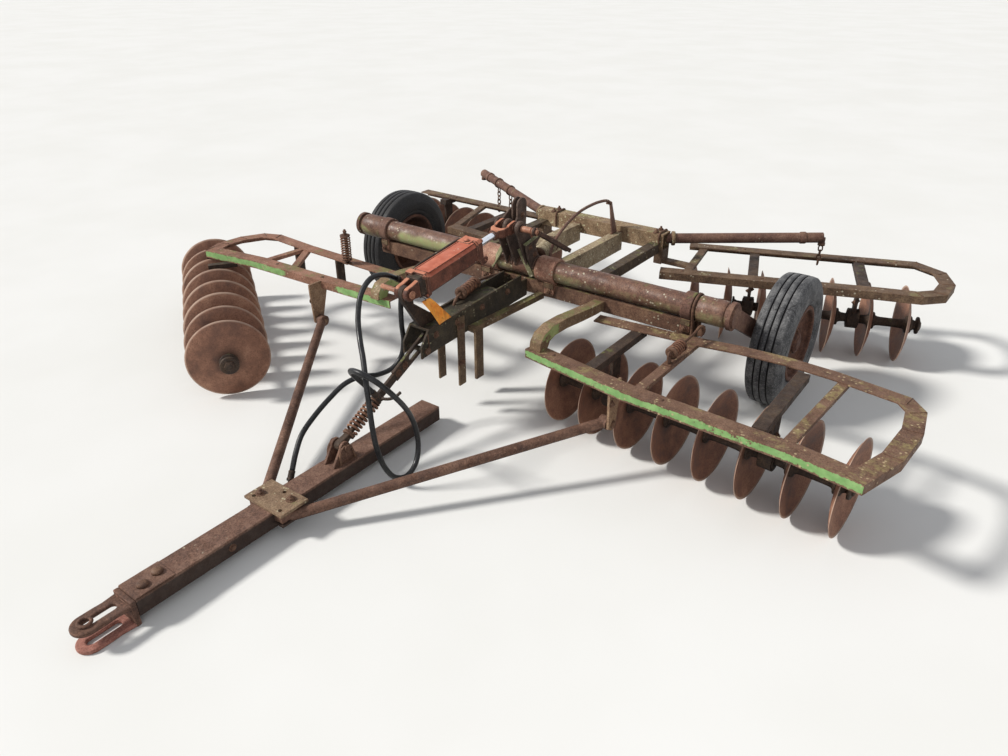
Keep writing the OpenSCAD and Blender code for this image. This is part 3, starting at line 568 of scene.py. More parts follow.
def rubber(name, base, dust, dusty, rough=(.6, .82), crack=0.):
    """Rubber with dust in its grain and, with crack, fine weather cracks."""
    m = Mat(name)
    broad = m.noise(14, 6, .65)
    fine = m.noise(130, 4, .7)
    color = m.mix(m.span(broad, .35, .7, 0, dusty), rgb(base), rgb(dust))
    color = m.mix(m.span(fine, .5, .72, 0, .45), color, shade(dust, 1.45))
    color = m.mix(m.span(fine, .5, .3, 0, .5), color, shade(base, .5))
    height = m.add(m.mul(fine, .5), broad)
    if crack:
        gap = m.cells(16, m.scaled(m.here, (1, .5, .5)), "DISTANCE_TO_EDGE")
        line = m.mul(m.span(gap, .018, .004), m.span(m.noise(5, 3), .5, .6))
        color = m.mix(m.mul(line, crack), color, rgb((12, 12, 12)))
        height = m.sub(height, m.mul(line, 2))
    return m.done(color, m.span(broad, .3, .7, *rough), m.bump(height, .35, .002), spec=.3)


TYRE_NEAR = rubber("tyre_weathered", (52, 52, 54), (110, 110, 110), .92, crack=.95)
TYRE_FAR = rubber("tyre_dark", (26, 26, 28), (58, 56, 54), .5, (.5, .75))
# Near-black rubber that lines the tread grooves as painted shade
GROOVE_SHADE = rubber("tyre_groove_painted_shade", (13, 13, 14), (34, 33, 32), .3)
HOSE = rubber("hose_rubber", (15, 15, 17), (50, 50, 50), .3, (.26, .5))


def blade_rust():
    """Rust round the axle, the z axis of the blade's own coordinates, with a thin bright rim."""
    m = Mat("blade_rust")
    own = m.new("ShaderNodeAttribute", attribute_name="own").outputs["Vector"]
    x, y = m.xyz(own)[:2]
    radius = m.math("SQRT", m.add(m.mul(x, x), m.mul(y, y)))
    rings = m.noise(1, 4, .6, vec=m.scaled(own, (6, 6, 12)))
    tone = m.add(m.mul(rings, .6), m.mul(m.noise(24, 7, .7), .4))
    color = m.ramp(tone, [(.33, (88, 58, 45)), (.5, (133, 93, 73)), (.68, (169, 127, 103))])
    color = m.mix(m.span(m.noise(150, 3), .45, .7, 0, .5), color, rgb((70, 42, 32)))
    worn = m.mul(m.span(radius, .209, .219), m.span(m.noise(9, 3), .3, .6, .35, .9))
    color = m.mix(worn, color, rgb((176, 150, 132)))
    color = m.mix(m.span(radius, .1, .05, 0, .6), color, rgb((58, 38, 30)))
    height = m.add(m.noise(40, 6, .7), m.mul(m.noise(150, 3), .5))
    return m.done(color, m.span(tone, .3, .7, .5, .8), m.bump(height, .4, .0016), spec=.4)


def rod_chrome():
    """Chrome with fine streaks along the rod and a few rust spots."""
    m = Mat("rod_chrome")
    streak = m.noise(1, 4, .6, vec=m.scaled(m.here, (90, 12, 90)))
    color = m.mix(m.span(streak, .45, .7, 0, .4), rgb((226, 231, 238)), rgb((188, 184, 180)))
    color = m.mix(m.mul(m.span(m.noise(60, 5), .62, .7), .8), color, rgb((110, 74, 54)))
    return m.done(color, m.span(streak, .3, .8, .1, .26), m.bump(streak, .1, .001), metal=.88)


def tag_paint():
    """Faded orange sheet with brown streaks and specks."""
    m = Mat("blank_tag")
    broad = m.noise(22, 6, .65)
    color = m.mix(m.span(broad, .35, .7), rgb((246, 168, 62)), rgb((226, 128, 40)))
    streak = m.noise(1, 4, .6, vec=m.scaled(m.here, (8, 60, 14)))
    color = m.mix(m.span(streak, .56, .66, 0, .55), color, rgb((150, 84, 34)))
    color = m.mix(m.span(m.noise(60, 5, .7), .58, .7, 0, .6), color, rgb((140, 84, 44)))
    return m.done(color, m.span(broad, .3, .7, .38, .62), m.bump(m.noise(36, 4), .2, .001))


DISC, CHROME, TAG = blade_rust(), rod_chrome(), tag_paint()

# Materials of the part's own pieces, which are shown as they are
DRESS = {TUBE: "rockshaft_tube", BEAM: "cross_beam", BAND: "tube_straps", RAIL: "main_rails",
         DARK_RAIL: "side_rails", CHANNEL: "rear_channel", CARRIER: "carrier_tubes wheel_arms",
         CENTRE: "centre_frame", DARK: "cylinder_bracket", STRAP: "hanging_bars", ARM: "gooseneck_arms",
         GREEN_L: "front_frame_left", GREEN_R: "front_frame_right",
         GREEN_B: "rear_frame_left rear_frame_right",
         HANGER: "front_hangers_left front_hangers_right rear_hangers_left rear_hangers_right",
         TAN: "drawbar_brackets", TONGUE: "tongue_beam", PLATE: "cross_plate",
         BRACE: "brace_left brace_right link_bracket"}
for mat, names in DRESS.items():
    for name in names.split():
        NODES[name].data.materials.clear()
        NODES[name].data.materials.append(mat)

# Hoses, along the routes that were fitted to the photograph in machine millimetres
HOSE_D = .025
HOSE_LONG = [[-94, -884, 800], [-100, -955, 838], [-105, -1035, 843], [-98, -1108, 792],
             [-68, -1165, 710], [-15, -1215, 640], [60, -1275, 585], [122, -1328, 505],
             [154, -1352, 405], [172, -1362, 305], [190, -1365, 220], [210, -1352, 130],
             [228, -1312, 55], [238, -1245, 25], [232, -1175, 52], [216, -1132, 120],
             [206, -1130, 205], [208, -1158, 290], [222, -1208, 370], [238, -1272, 452],
             [242, -1335, 530], [216, -1376, 582], [152, -1393, 603], [88, -1376, 582],
             [62, -1335, 530], [61, -1286, 467], [60, -1240, 405]]
HOSE_SHORT = [[-94, -858, 715], [-98, -864, 640], [-98, -866, 550], [-98, -861, 465],
              [-103, -880, 388], [-118, -935, 338], [-142, -1015, 330], [-168, -1095, 348],
              [-188, -1185, 340], [-197, -1280, 300], [-193, -1378, 258], [-175, -1475, 215],
              [-152, -1540, 158], [-133, -1588, 95]]


for name, table in (("hose_long", HOSE_LONG), ("hose_short", HOSE_SHORT)):
    path = spline([at_mm(p) for p in table], 8)
    kit = Kit()
    kit.sweep(path, HOSE_D / 2, sides=16)
    hose = kit.make(name + "_tube", [HOSE], "cylinder_barrel", [name])
    end, ahead = path[-1], unit(path[-1] - path[-2])
    place = look(end, ahead)
    kit = Kit()
    kit.lathe([(.0127, -.002), (.0155, 0), (.0155, .008), (.0144, .01), (.0155, .012), (.0144, .016),
               (.0155, .02), (.0148, .026), (.015, .034)], place, 20)
    kit.hexa(end + ahead * .033, ahead, .0175, .013)
    kit.lathe([(.0098, .045), (.0098, .054), (.0084, .056), (.0084, .06), (.0098, .061), (.0076, .066),
               (AXIS, .066)], place, 20)
    tip = kit.make(name + "_coupler", [DARK], "cylinder_barrel", ["hose_couplers"])

# Tyres and rims
TYRE_R, TYRE_W, RIM_R = .35, .185, .1905
WHEEL_X, WHEEL_Y = 1.34, .49
GROOVES, NUTS, NUT_CIRCLE = (-.034, 0, .034), 5, .06204


def wheel_place(side):
    return move(at(side * WHEEL_X, WHEEL_Y, TYRE_R)) @ turn(side * 90, "Y")


def tyre_profile():
    """Tread with four ribs, and sidewalls with their mould rings."""
    w, r, b = TYRE_W / 2, TYRE_R, RIM_R + .0004
    wall = [(b, w - .0205), (b + .012, w - .0205), (b + .018, w - .016), (b + .024, w - .01),
            (b + .034, w - .006), (b + .036, w - .0075), (b + .042, w - .0075), (b + .044, w - .004),
            (b + .06, w - .0015), (b + .075, w - .0002), (b + .09, w), (b + .105, w - .0016),
            (b + .107, w - .0032), (b + .112, w - .0032), (b + .114, w - .004), (r - .022, w - .011),
            (r - .012, w - .017), (r - .0065, w - .0225), (r - .004, w - .026)]
    tread = [(r - .0035, w - .03), (r - .0012, .046), (r - .0012, .0385), (r - .0095, .0365),
             (r - .0095, .0315), (r - .0004, .0295), (r, .0045), (r - .0095, .0025)]
    half = wall + tread
    return half + [(radius, -z) for radius, z in reversed(half)]


def rim_profile():
    """Rolled rim and dished disc."""
    w, b = TYRE_W / 2 - .02, RIM_R
    flange = [(b - .008, w + .008), (b + .006, w + .0095), (b + .013, w + .006), (b + .014, w + .001),
              (b + .009, w - .0002), (b, w - .002), (b - .001, w - .012), (b - .012, w - .026)]
    well = [(b - .014, 0), (b - .012, w - .03), (b - .001, w - .012)]
    disc = [(b - .011, w), (b - .01, w - .01), (b - .02, w - .028), (b - .0215, .046), (b - .03, .043),
            (b - .045, .038), (.112, .035), (.1, .028), (.078, .0235), (.07, .0225), (.0705, .0115),
            (.08, .013), (.104, .0185), (.114, .0255), (b - .043, .029), (b - .028, .034),
            (b - .0225, .034), (b - .0215, -w + .026), (b - .01, -w + .008)]
    return [(r, -z) for r, z in flange] + well + flange[5::-1] + disc


def tyre(side, tag, mat):
    place = wheel_place(side)
    kit = Kit()
    kit.ring(tyre_profile(), place, 144)
    top, foot = TYRE_R - .003, TYRE_R - .0091
    # the grooves are lined with near-black rubber as painted shade
    for z in GROOVES:
        kit.lathe([(top, z - .0037), (foot, z - .0024), (foot, z + .0024), (top, z + .0037)],
                  place, 144, GROOVE_SHADE)
    kit.make("tyre_tread_" + tag, [mat, GROOVE_SHADE], "wheel_" + tag, ["tyre_" + tag])


def rim(side, tag):
    place, out = wheel_place(side), wheel_place(side).to_3x3() @ UP
    kit = Kit()
    kit.ring(rim_profile(), place, 96)
    # hub and its cap
    kit.ring([(.0206, -.052), (.048, -.052), (.05, -.049), (.05, -.004), (.068, .006), (.0695, .0225),
              (.0695, .034), (.058, .0355), (.056, .044), (.0555, .06), (.05, .066), (.0206, .066)],
             place, 48)
    kit.lathe([(AXIS, .0725), (.03, .0725), (.039, .069), (.041, .0662), (AXIS, .0662)], place, 32)
    for i in range(NUTS):
        a = i * 2 * math.pi / NUTS + .3
        seat = place @ Vector((NUT_CIRCLE * math.cos(a), NUT_CIRCLE * math.sin(a), .0352))
        kit.hexa(seat, out, .0118, .015, BOLT, a)
        kit.rod(seat, seat + out * .021, .0062, BOLT, 12)
    stem = [place @ Vector(p) for p in ((RIM_R - .034, .01, .045), (RIM_R - .04, .01, .075))]
    kit.rod(*stem, .0042, BOLT, 12)
    kit.make("rim_pressed_" + tag, [RIM, BOLT], "wheel_" + tag, ["rim_" + tag])


for side, tag, mat in ((1, "left", TYRE_NEAR), (-1, "right", TYRE_FAR)):
    tyre(side, tag, mat)
    rim(side, tag)

# Disc gangs: node, body, inner end in millimetres, yaw in degrees, blades, and the way that they are hollow
DISC_R, SAG, GAP = .2225, .046, .2
GANGS = [("front_gang_left", "gang_front_left", 500, -330, -4.1, 8, 1),
         ("front_gang_right", "gang_front_right", -2206, -475, -33, 8, -1),
         ("rear_gang_left", "gang_rear_left", 640, 1005, 18.7, 7, -1),
         ("rear_gang_right", "gang_rear_right", -580, 1030, 174.3, 7, -1)]


def blade(kit, place, z, rim_radius, hollow):
    """A dished blade with a ground rim, clamped between two flanges."""
    radii = [.02, .045, .07, .1, .13, .16, .185, .2, .21, rim_radius]
    dish = [hollow * SAG * (r / DISC_R) ** 2 for r in radii]
    front = [(r, z + d + (.0038 if r > .2 else .005)) for r, d in zip(radii, dish)]
    back = [(r, z + d + (.0012 if r > .2 else 0)) for r, d in zip(radii, dish)]
    kit.ring(front + back[::-1], place, 96)
    flange = ((.02, .003), (.048, .003), (.05, .006), (.05, .012), (.047, .0155), (.034, .0185), (.028, .03))
    for t in (-1, 1):
        kit.lathe([(r, z + .0025 + t * step) for r, step in flange], place, 40, HANGER)


def gang(node, body, x, y, yaw, count, hollow):
    """Blades, the spools between them and the nuts on the axle's ends."""
    kit = Kit()
    place = move(at(x / 1000, y / 1000, DISC_R)) @ turn(yaw, "Z") @ turn(90, "Y")
    draw = random.Random(count * 31 + int(yaw))
    for i in range(count):
        blade(kit, place, i * GAP, DISC_R - draw.uniform(0, .0035), hollow)
    for i in range(count - 1):
        spool = ((.028, .03), (.0262, .05), (.0255, .1), (.0262, .15), (.028, .175))
        kit.lathe([(r, i * GAP + z) for r, z in spool], place, 32, HANGER)
    for z, t in ((-.07, 1), ((count - 1) * GAP + .07, -1)):
        kit.lathe([(AXIS, z), (.0172, z), (.018, z + t * .002), (.018, z + t * .07)], place, 20, HANGER)
        cup = ((.018, .012), (.046, .012), (.05, .015), (.05, .024), (.03, .026), (.026, .04), (.03, .052))
        kit.lathe([(r, z + t * step) for r, step in cup], place, 32, HANGER)
        kit.hexa(place @ Vector((0, 0, z + t * .012)), place.to_3x3() @ (UP * -t), .029, .0105, HANGER)
    kit.make(node + "_blades", [DISC, HANGER], body, [node], own=True)


for row in GANGS:
    gang(*row)

# Frame springs
def spring_seats(kit, top, ahead, bore, rim_radius, first, last, nut, nut_height, nut_angle):
    """Two washers on a spring's rod, at first and last along it, with the nuts that hold them."""
    for t in (first, last):
        kit.ring([(bore, 0), (rim_radius, 0), (rim_radius, .004), (bore, .005)],
                 look(top + ahead * t, ahead), 28, BOLT)
    kit.hexa(top + ahead * first, -ahead, .013, .011, BOLT)
    out = ahead if nut > last else -ahead
    kit.hexa(top + ahead * nut, out, .012, nut_height, BOLT, nut_angle)


kit = Kit()
# near spring: hook on the beam's lug, coils, plunger rod and foot
top, foot = path_at((1.09, -.064, .562), (1.076, -.372, .54))
ahead = unit(foot - top)
kit.box(at(1.078, -.074, .52), at(1.102, -.0381, .566), .004, BOLT)
hook = [top + Vector(p) for p in ((0, .004, -.028), (.012, 0, -.024), (.018, -.004, -.004),
                                  (.01, -.008, .012), (0, -.022, .012))]
kit.sweep(spline(hook + [top + ahead * .045 + UP * .006, top + ahead * .07], 6), .0072, BOLT)
kit.rod(top + ahead * .066, foot + ahead * .004, .0062, BOLT, 16)
kit.helix(top + ahead * .205, top + ahead * .285, .0265, .0041, 5, 9, .0008)
spring_seats(kit, top, ahead, .006, .031, .199, .287, .292, .009, .4)
kit.box(at(1.056, -.392, .4932), at(1.096, -.352, .5), .002, BOLT)
kit.plate([circle(0, 0, .018, 14, 0, 180) + [(-.018, -.042), (.018, -.042)], circle(0, 0, .0068, 12)], .008,
          look(foot, LEFT, BACK) @ move((0, 0, -.004)), .0015, BOLT)
# far spring: long upright coil on its rod
top, foot = path_at((-1.036, -.335, .705), (-1.04, -.335, .505))
ahead = unit(foot - top)
kit.rod(top - ahead * .006, foot, .007, BOLT, 16)
kit.helix(top + ahead * .034, top + ahead * .176, .0262, .0042, 9.5, 9, .0007)
spring_seats(kit, top, ahead, .007, .03, .028, .178, .012, .01, .5)
kit.box(at(-1.06, -.355, .5), at(-1.02, -.315, .508), .002, BOLT)
kit.make("frame_springs", [SPRING, BOLT], "frame", ["lift_springs"])

# Mossy coil behind the rockshaft, on its hanger rod
kit = Kit()
top, foot = path_at((.051, .091, .662), (.018, .256, .668))
ahead = unit(foot - top)
kit.helix(top, foot, .0385, .007, 7.5)
kit.rod(top - ahead * .03, foot + ahead * .06, .009, BOLT, 16)
for point in (foot + ahead * .01, top - ahead * .014):
    kit.collar(.009, .046, 0, .006, look(point, ahead), 28, BOLT)
kit.hexa(foot + ahead * .016, ahead, .018, .013, BOLT)
kit.make("balance_coil", [OLD_COIL, BOLT], "frame")

# Coil on a bent rod above the centre frame
kit = Kit()
rod = path_at((-.062, -.04, .548), (-.064, -.075, .575), (-.072, -.16, .592), (-.08, -.28, .6),
              (-.062, -.39, .602), (-.04, -.49, .6), (-.03, -.54, .585), (-.03, -.56, .545))
kit.sweep(spline(rod, 6), .008, BOLT)
kit.helix(at(-.074, -.33, .602), at(-.041, -.476, .602), .025, .0062, 6)
for point in path_at((-.074, -.324, .602), (-.04, -.482, .602)):
    kit.ring([(.008, -.003), (.034, -.003), (.035, 0), (.034, .003), (.008, .003)],
             look(point, Vector((.039, -.18, 0))), 26, BOLT)
kit.make("centre_coil", [SPRING, BOLT], "frame")

# Carrier tubes: their outer and inner ends, and the chains that hang from them
TUBE_LEFT = path_at((1.215, 1.38, .64), (.4, .872, .612))
TUBE_RIGHT = path_at((-1.31, 1.36, .655), (-.4, .872, .612))
LINK_STEP, LINK_SIDES, LINK_WIRE = .029, 24, .0042
LINK_HALF_WIDTH, LINK_END, LINK_HALF_SIDE = .0115, .0135, .004


def chain(kit, x, y, z, links, start):
    """Links down from a height, each a quarter turn from the one above it."""
    for i in range(links):
        across = BACK if (i + start) % 2 else LEFT
        middle = at(x, y, z - .02 - i * LINK_STEP)
        loop = []
        for j in range(LINK_SIDES + 1):
            a = 2 * math.pi * j / LINK_SIDES
            rise = LINK_END * math.sin(a) + (LINK_HALF_SIDE if math.sin(a) > 0 else -LINK_HALF_SIDE)
            loop.append(middle + across * (LINK_HALF_WIDTH * math.cos(a)) + UP * rise)
        kit.sweep(loop, LINK_WIRE, sides=10, cap=False)


kit = Kit()
chain(kit, 1.215, 1.38, .594, 4, 0)
chain(kit, -1.075, 1.234, .612, 6, 1)
chain(kit, -.905, 1.143, .604, 3, 0)
for point in path_at((-1.075, 1.234, .6438), (-.905, 1.143, .6358)):
    kit.collar(.0303, .037, -.009, .009, look(point, TUBE_RIGHT[1] - TUBE_RIGHT[0]), 32, BOLT, .001, .002)
kit.make("carrier_chain_links", [BOLT], "frame", ["carrier_chains"])

# Lift cylinder, from its base pin to the rod's pin in the lever plates
BASE = Vector((0, -.93, .765))
LEVER_R, LEVER_ANGLE = .277, math.radians(118)
LEVER = Vector((0, LEVER_R * math.cos(LEVER_ANGLE), SHAFT_Z + LEVER_R * math.sin(LEVER_ANGLE)))
PIN_TO_PIN = (LEVER - BASE).length
RISE = math.atan2(LEVER.z - BASE.z, LEVER.y - BASE.y)
# In BARREL, x is across, z runs from the base pin to the rod's pin, and -y is up
BARREL = move(BASE + SHIFT) @ Matrix.Rotation(RISE - math.pi / 2, 4, "X")
BASE_PIN, ROD_PIN = BARREL @ turn(90, "Y"), BARREL @ move((0, 0, PIN_TO_PIN)) @ turn(90, "Y")
PIN_R, PIN_BORE, LUG_BORE, PORT_X = .0124, .0126, .0131, -.0595


def across(x, y, z):
    """Place for a plate that stands across the cylinder's pins."""
    return BARREL @ Matrix(((0, 0, 1, x), (0, 1, 0, y), (1, 0, 0, z), (0, 0, 0, 1)))


def octagon(width, height, cut, low=0):
    """Rectangle with cut corners, its middle dropped by low."""
    w, h = width / 2, height / 2
    corners = ((-w, -h + cut), (-w + cut, -h), (w - cut, -h), (w, -h + cut), (w, h - cut), (w - cut, h),
               (-w + cut, h), (-w, h - cut))
    return [(x, y + low) for x, y in corners]


def lug(kit, x, z, radius, tail, thick, bevel):
    """An ear with a hole for its pin. The round end is where the tail isn't."""
    first = 90 if tail[0][0] > 0 else -90
    kit.plate([circle(0, 0, radius, 26, first, first + 180) + tail, circle(0, 0, LUG_BORE, 24)], thick,
              across(x, 0, z), bevel, LUG)


def hose_elbow(kit, table, reach):
    """From the port to a hose's start."""
    start = at_mm(table[0])
    ahead = unit(spline([at_mm(p) for p in table[:4]], 2)[1] - start)
    corner = start - ahead * reach
    port = Vector((SHIFT.x + PORT_X, corner.y, corner.z))
    kit.hexa(port, -LEFT, .0145, .012, LUG)
    bend = [port - LEFT * .008, corner + LEFT * .016, corner + LEFT * .004 + ahead * .003,
            corner + ahead * .014, corner + ahead * .024]
    kit.sweep(spline(bend, 5), .0118, LUG, 16)
    kit.hexa(corner + ahead * .018, ahead, .0172, .012, LUG, .3)
    kit.lathe([(.0118, .028), (.015, .03), (.015, reach - .001), (.0126, reach)],
              look(corner, ahead), 20, DARK)


kit = Kit()
# barrel and heads: start and end along z, outline, material, bevel
for low, high, outline, mat, bevel in ((.06, .1, octagon(.094, .098, .012), DARK, .003),
                                       (.098, .118, octagon(.116, .124, .016, .003), RED_HEAD, .004),
                                       (.118, .478, octagon(.104, .112, .02, .004), RED, .002),
                                       (.478, .488, octagon(.112, .12, .016, .004), RED_HEAD, .003),
                                       (.488, .518, octagon(.118, .124, .014, .003), RED_HEAD, .004)):
    kit.plate([outline], high - low, BARREL @ move((0, 0, low)), bevel, mat)
kit.lathe([(AXIS, .517), (.034, .517), (.036, .519), (.036, .53), (.029, .534), (.027, .552), (.0205, .556),
           (AXIS, .556)], BARREL, 32, DARK)
# flat on top between two long grooves, boss and lug on the rod's head, and the oil pipe on the far side
kit.box((-.034, -.056, .128), (.046, -.051, .47), .0025, RED, BARREL)
kit.box((-.046, -.0545, .126), (-.04, -.0505, .472), .0015, RED, BARREL)
kit.box((-.044, -.0605, .446), (.03, -.052, .486), .003, RED_HEAD, BARREL)
kit.lathe([(AXIS, 0), (.014, 0), (.014, .006), (.009, .0065), (.009, .01), (AXIS, .01)],
          BARREL @ look(Vector((.002, -.06, .466)), -BACK), 20, RED_HEAD)
kit.plate([[(-.012, 0), (.03, .004), (.042, .014), (.042, .03), (.026, .04), (-.012, .04)],
           circle(.024, .022, .006, 14)], .008, across(.052, .036, .505), .002, RED_HEAD)
for x in (-.047, .047):
    for y in (-.046, .052):
        kit.hexa(BARREL @ Vector((x, y, .0982)), BARREL.to_3x3() @ -UP, .0105, .01, RED_HEAD, x * 9)
        kit.hexa(BARREL @ Vector((x, y, .5178)), BARREL.to_3x3() @ UP, .0105, .009, RED_HEAD, y * 9)
pipe = [Vector(p) for p in ((-.05, -.04, .496), (-.056, -.046, .485), (-.059, -.049, .46),
                            (-.059, -.049, .35), (-.059, -.049, .2), (-.057, -.046, .15),
                            (-.05, -.038, .11))]
kit.sweep([BARREL @ p for p in spline(pipe, 5)], .008, DARK)
for x in (-.039, .0145):
    lug(kit, x, 0, .034, [(.02, -.035), (.07, -.044), (.07, .044), (.02, .035)], .0245, .006)
# port block on the base head, where the hoses leave
kit.box((PORT_X, -.06, .078), (-.018, -.046, .116), .004, LUG, BARREL)
kit.box((PORT_X, -.046, .082), (-.054, .03, .112), .003, LUG, BARREL)
# base pin with its head, washer and cotter
kit.rod((-.145, 0, 0), (.045, 0, 0), PIN_R, PIN, 24, .002, BARREL)
kit.collar(PIN_BORE, .022, -.037, -.041, BASE_PIN, 24, PIN)
kit.rod((-.13, -.019, .002), (-.13, .021, -.002), .0026, PIN, 10, .0005, BARREL)
kit.lathe([(AXIS, .041), (.018, .041), (.0195, .043), (.0195, .048), (.017, .05), (AXIS, .05)],
          BASE_PIN, 24, PIN)
hose_elbow(kit, HOSE_LONG, .052)
hose_elbow(kit, HOSE_SHORT, .036)
# wire that holds the blank tag
wire = path_at((.044, -.902, .752), (.058, -.882, .742), (.064, -.862, .728), (.061, -.86, .716))
kit.sweep(spline(wire, 5), .0017, DARK, 6)
kit.make("cylinder_body", [RED, RED_HEAD, DARK, PIN, LUG], "cylinder_barrel",
         ["cylinder_barrel"])

# Rod, its cast fork with a round neck, and the pin through the lever plates
kit = Kit()
kit.lathe([(AXIS, .286), (.0168, .286), (.0168, .69)], BARREL, 40)
kit.lathe([(AXIS, .284), (.0412, .284), (.0415, .308), (AXIS, .309)], BARREL, 32)
kit.lathe([(.0175, .676), (.027, .676), (.029, .679), (.029, .692)], BARREL, 32, LUG)
half_fork = [(.024, .69), (.044, .716), (.046, .776), (.032, .776), (.03, .742), (.016, .728)]
kit.plate([[(-.024, .69)] + half_fork + [(-x, z) for x, z in half_fork[:0:-1]]], .05,
          BARREL @ Matrix(((1, 0, 0, 0), (0, 0, 1, -.025), (0, 1, 0, 0), (0, 0, 0, 1))), .008, LUG)
for x in (-.046, .03):
    lug(kit, x, PIN_TO_PIN, .033, [(-.04, .03), (-.058, .022), (-.058, -.022), (-.04, -.03)], .016, .004)
    kit.collar(.0135, .0225, x - .0025, x + .0185, ROD_PIN, 26, LUG, .001, .0025)
kit.rod((-.066, 0, PIN_TO_PIN), (.19, 0, PIN_TO_PIN), PIN_R, PIN, 24, .002, BARREL)
kit.collar(PIN_BORE, .0172, .088, .153, ROD_PIN, 28, PIN, .0007, .003)
kit.ring([(PIN_BORE, .158), (.0185, .158), (.0205, .161), (.0205, .172), (.0185, .176), (PIN_BORE, .176)],
         ROD_PIN, 24, PIN)
# washers on the pin, which cover the worn holes of the lever plates
for x in (-.066, -.0517, -.01, .0065, .066, .0825):
    kit.collar(PIN_BORE, .0368, x, x + .003, ROD_PIN, 30, LEVER_STEEL, .0006, .0006)
kit.rod((.183, -.021, PIN_TO_PIN + .004), (.183, .022, PIN_TO_PIN - .003), .0028, PIN, 10, .0005, BARREL)
kit.make("cylinder_rod_and_fork", [CHROME, LUG, PIN, LEVER_STEEL], "cylinder_rod",
         ["cylinder_rod"])

# Tag: a bent blank plate hung below the cylinder's base lugs
ROWS, COLUMNS = 16, 8
LEFT_TOP, RIGHT_TOP, LEFT_FOOT, RIGHT_FOOT = path_at((.062, -.888, .722), (.054, -.824, .719),
                                                     (.08, -.788, .572), (.072, -.692, .576))
points, faces = [], []
for i in range(ROWS + 1):
    for j in range(COLUMNS + 1):
        a, b = i / ROWS, j / COLUMNS
        bent = .007 * math.sin(a * 4.2) + .012 * (b - .5) ** 2 + .004 * math.sin(a * 9) * b
        points.append(LEFT_TOP.lerp(RIGHT_TOP, b).lerp(LEFT_FOOT.lerp(RIGHT_FOOT, b), a) + LEFT * bent)
for i in range(ROWS):
    for j in range(COLUMNS):
        a = i * (COLUMNS + 1) + j
        faces.append((a, a + 1, a + COLUMNS + 2, a + COLUMNS + 1))
kit = Kit()
kit.add(points, faces, smooth=True)
kit.make("blank_tag", [TAG], "cylinder_barrel", thick=.0018)

# Hitch clevis
HITCH_Y, TONGUE_TOP = -2.608, .116
NECK = [(.052, -2.56), (.05, -2.52), (.056, -2.47)]
JAW = circle(0, HITCH_Y, .052, 28, 180, 360) + NECK + [(-x, y) for x, y in NECK[::-1]]
SLOT = circle(0, HITCH_Y, .0168, 14, 180, 360) + circle(0, -2.512, .0168, 14, 0, 180)
WORN_JAW = rusty("worn_jaw", (120, 78, 66), (164, 112, 98), (190, 142, 126), relief=.6)
kit = Kit()
for z, mat in ((.082, FORGED), (0, WORN_JAW)):
    kit.plate([JAW, SLOT], .018, move(at(0, 0, z)), .0055, mat)
kit.box(at(-.058, -2.472, 0), at(.058, -2.4505, .116), .006)
kit.ring([(.0168, 0), (.026, 0), (.0285, .004), (.027, .01), (.0168, .011)], move(at(0, HITCH_Y, .1)), 32)
kit.make("hitch_forging", [FORGED, WORN_JAW], "tongue", ["hitch_clevis"])

# Tongue: two domed heads, cover strip near the hitch, seam welds, plate bolts and brace end straps
kit = Kit()
for x, y in ((.012, -2.395), (-.006, -2.325)):
    place = look(at(x, y, TONGUE_TOP), UP)
    kit.lathe([(AXIS, 0), (.027, 0), (.027, .003), (AXIS, .0035)], place, 28, smooth=False)
    kit.lathe([(AXIS, .003), (.022, .003), (.0222, .012), (.019, .017), (.012, .0195), (AXIS, .0205)],
              place, 28)
kit.box(at(-.0575, -2.448, .1162), at(.0575, -2.29, .1205), .0015, TONGUE)
for x in (-.0582, .0582):
    kit.bead(at(x, -2.44, .113), at(x, -2.3, .113), .0035, BOLT, 3)
kit.bolt(at(-.075, -1.8, .128), UP, .0135, BOLT, .012)
kit.bolt(at(.062, -1.752, .128), UP, .0135, BOLT, .01)
kit.bolt(at(.058, -2.05, .075), LEFT, .01)
kit.bolt(at(-.0582, -1.6, .08), -LEFT, .01)
for side in (-1, 1):
    kit.box(at(side * .0585, -1.846, .06), at(side * .112, -1.742, .0705), .002, TONGUE)
    kit.bolt(at(side * .088, -1.794, .06), -UP, .012)
kit.make("tongue_bolts", [BOLT, TONGUE], "tongue")

# Levelling link, from the bracket on the tongue to the centre frame
LINK_LOW, LINK_TOP = Vector((0, -1.41, .19)), Vector((0, -.87, .46))
LINK_RISE = math.atan2(LINK_TOP.z - LINK_LOW.z, LINK_TOP.y - LINK_LOW.y)
# In LINK, x runs along the link, y towards the machine's right, and z is up
LINK = move(LINK_LOW + SHIFT) @ Matrix.Rotation(LINK_RISE, 4, "X") @ turn(90, "Z")
LINK_AXIS = LINK @ turn(90, "Y")
THREAD_TURNS, THREAD_SIDES, THREAD_START, THREAD_LENGTH = 20, 14, .085, .165


def along_link(thick):
    """Place for a plate drawn in the link's side view, in the middle of its width."""
    return LINK @ Matrix(((1, 0, 0, 0), (0, 0, -1, thick / 2), (0, 1, 0, 0), (0, 0, 0, 1)))


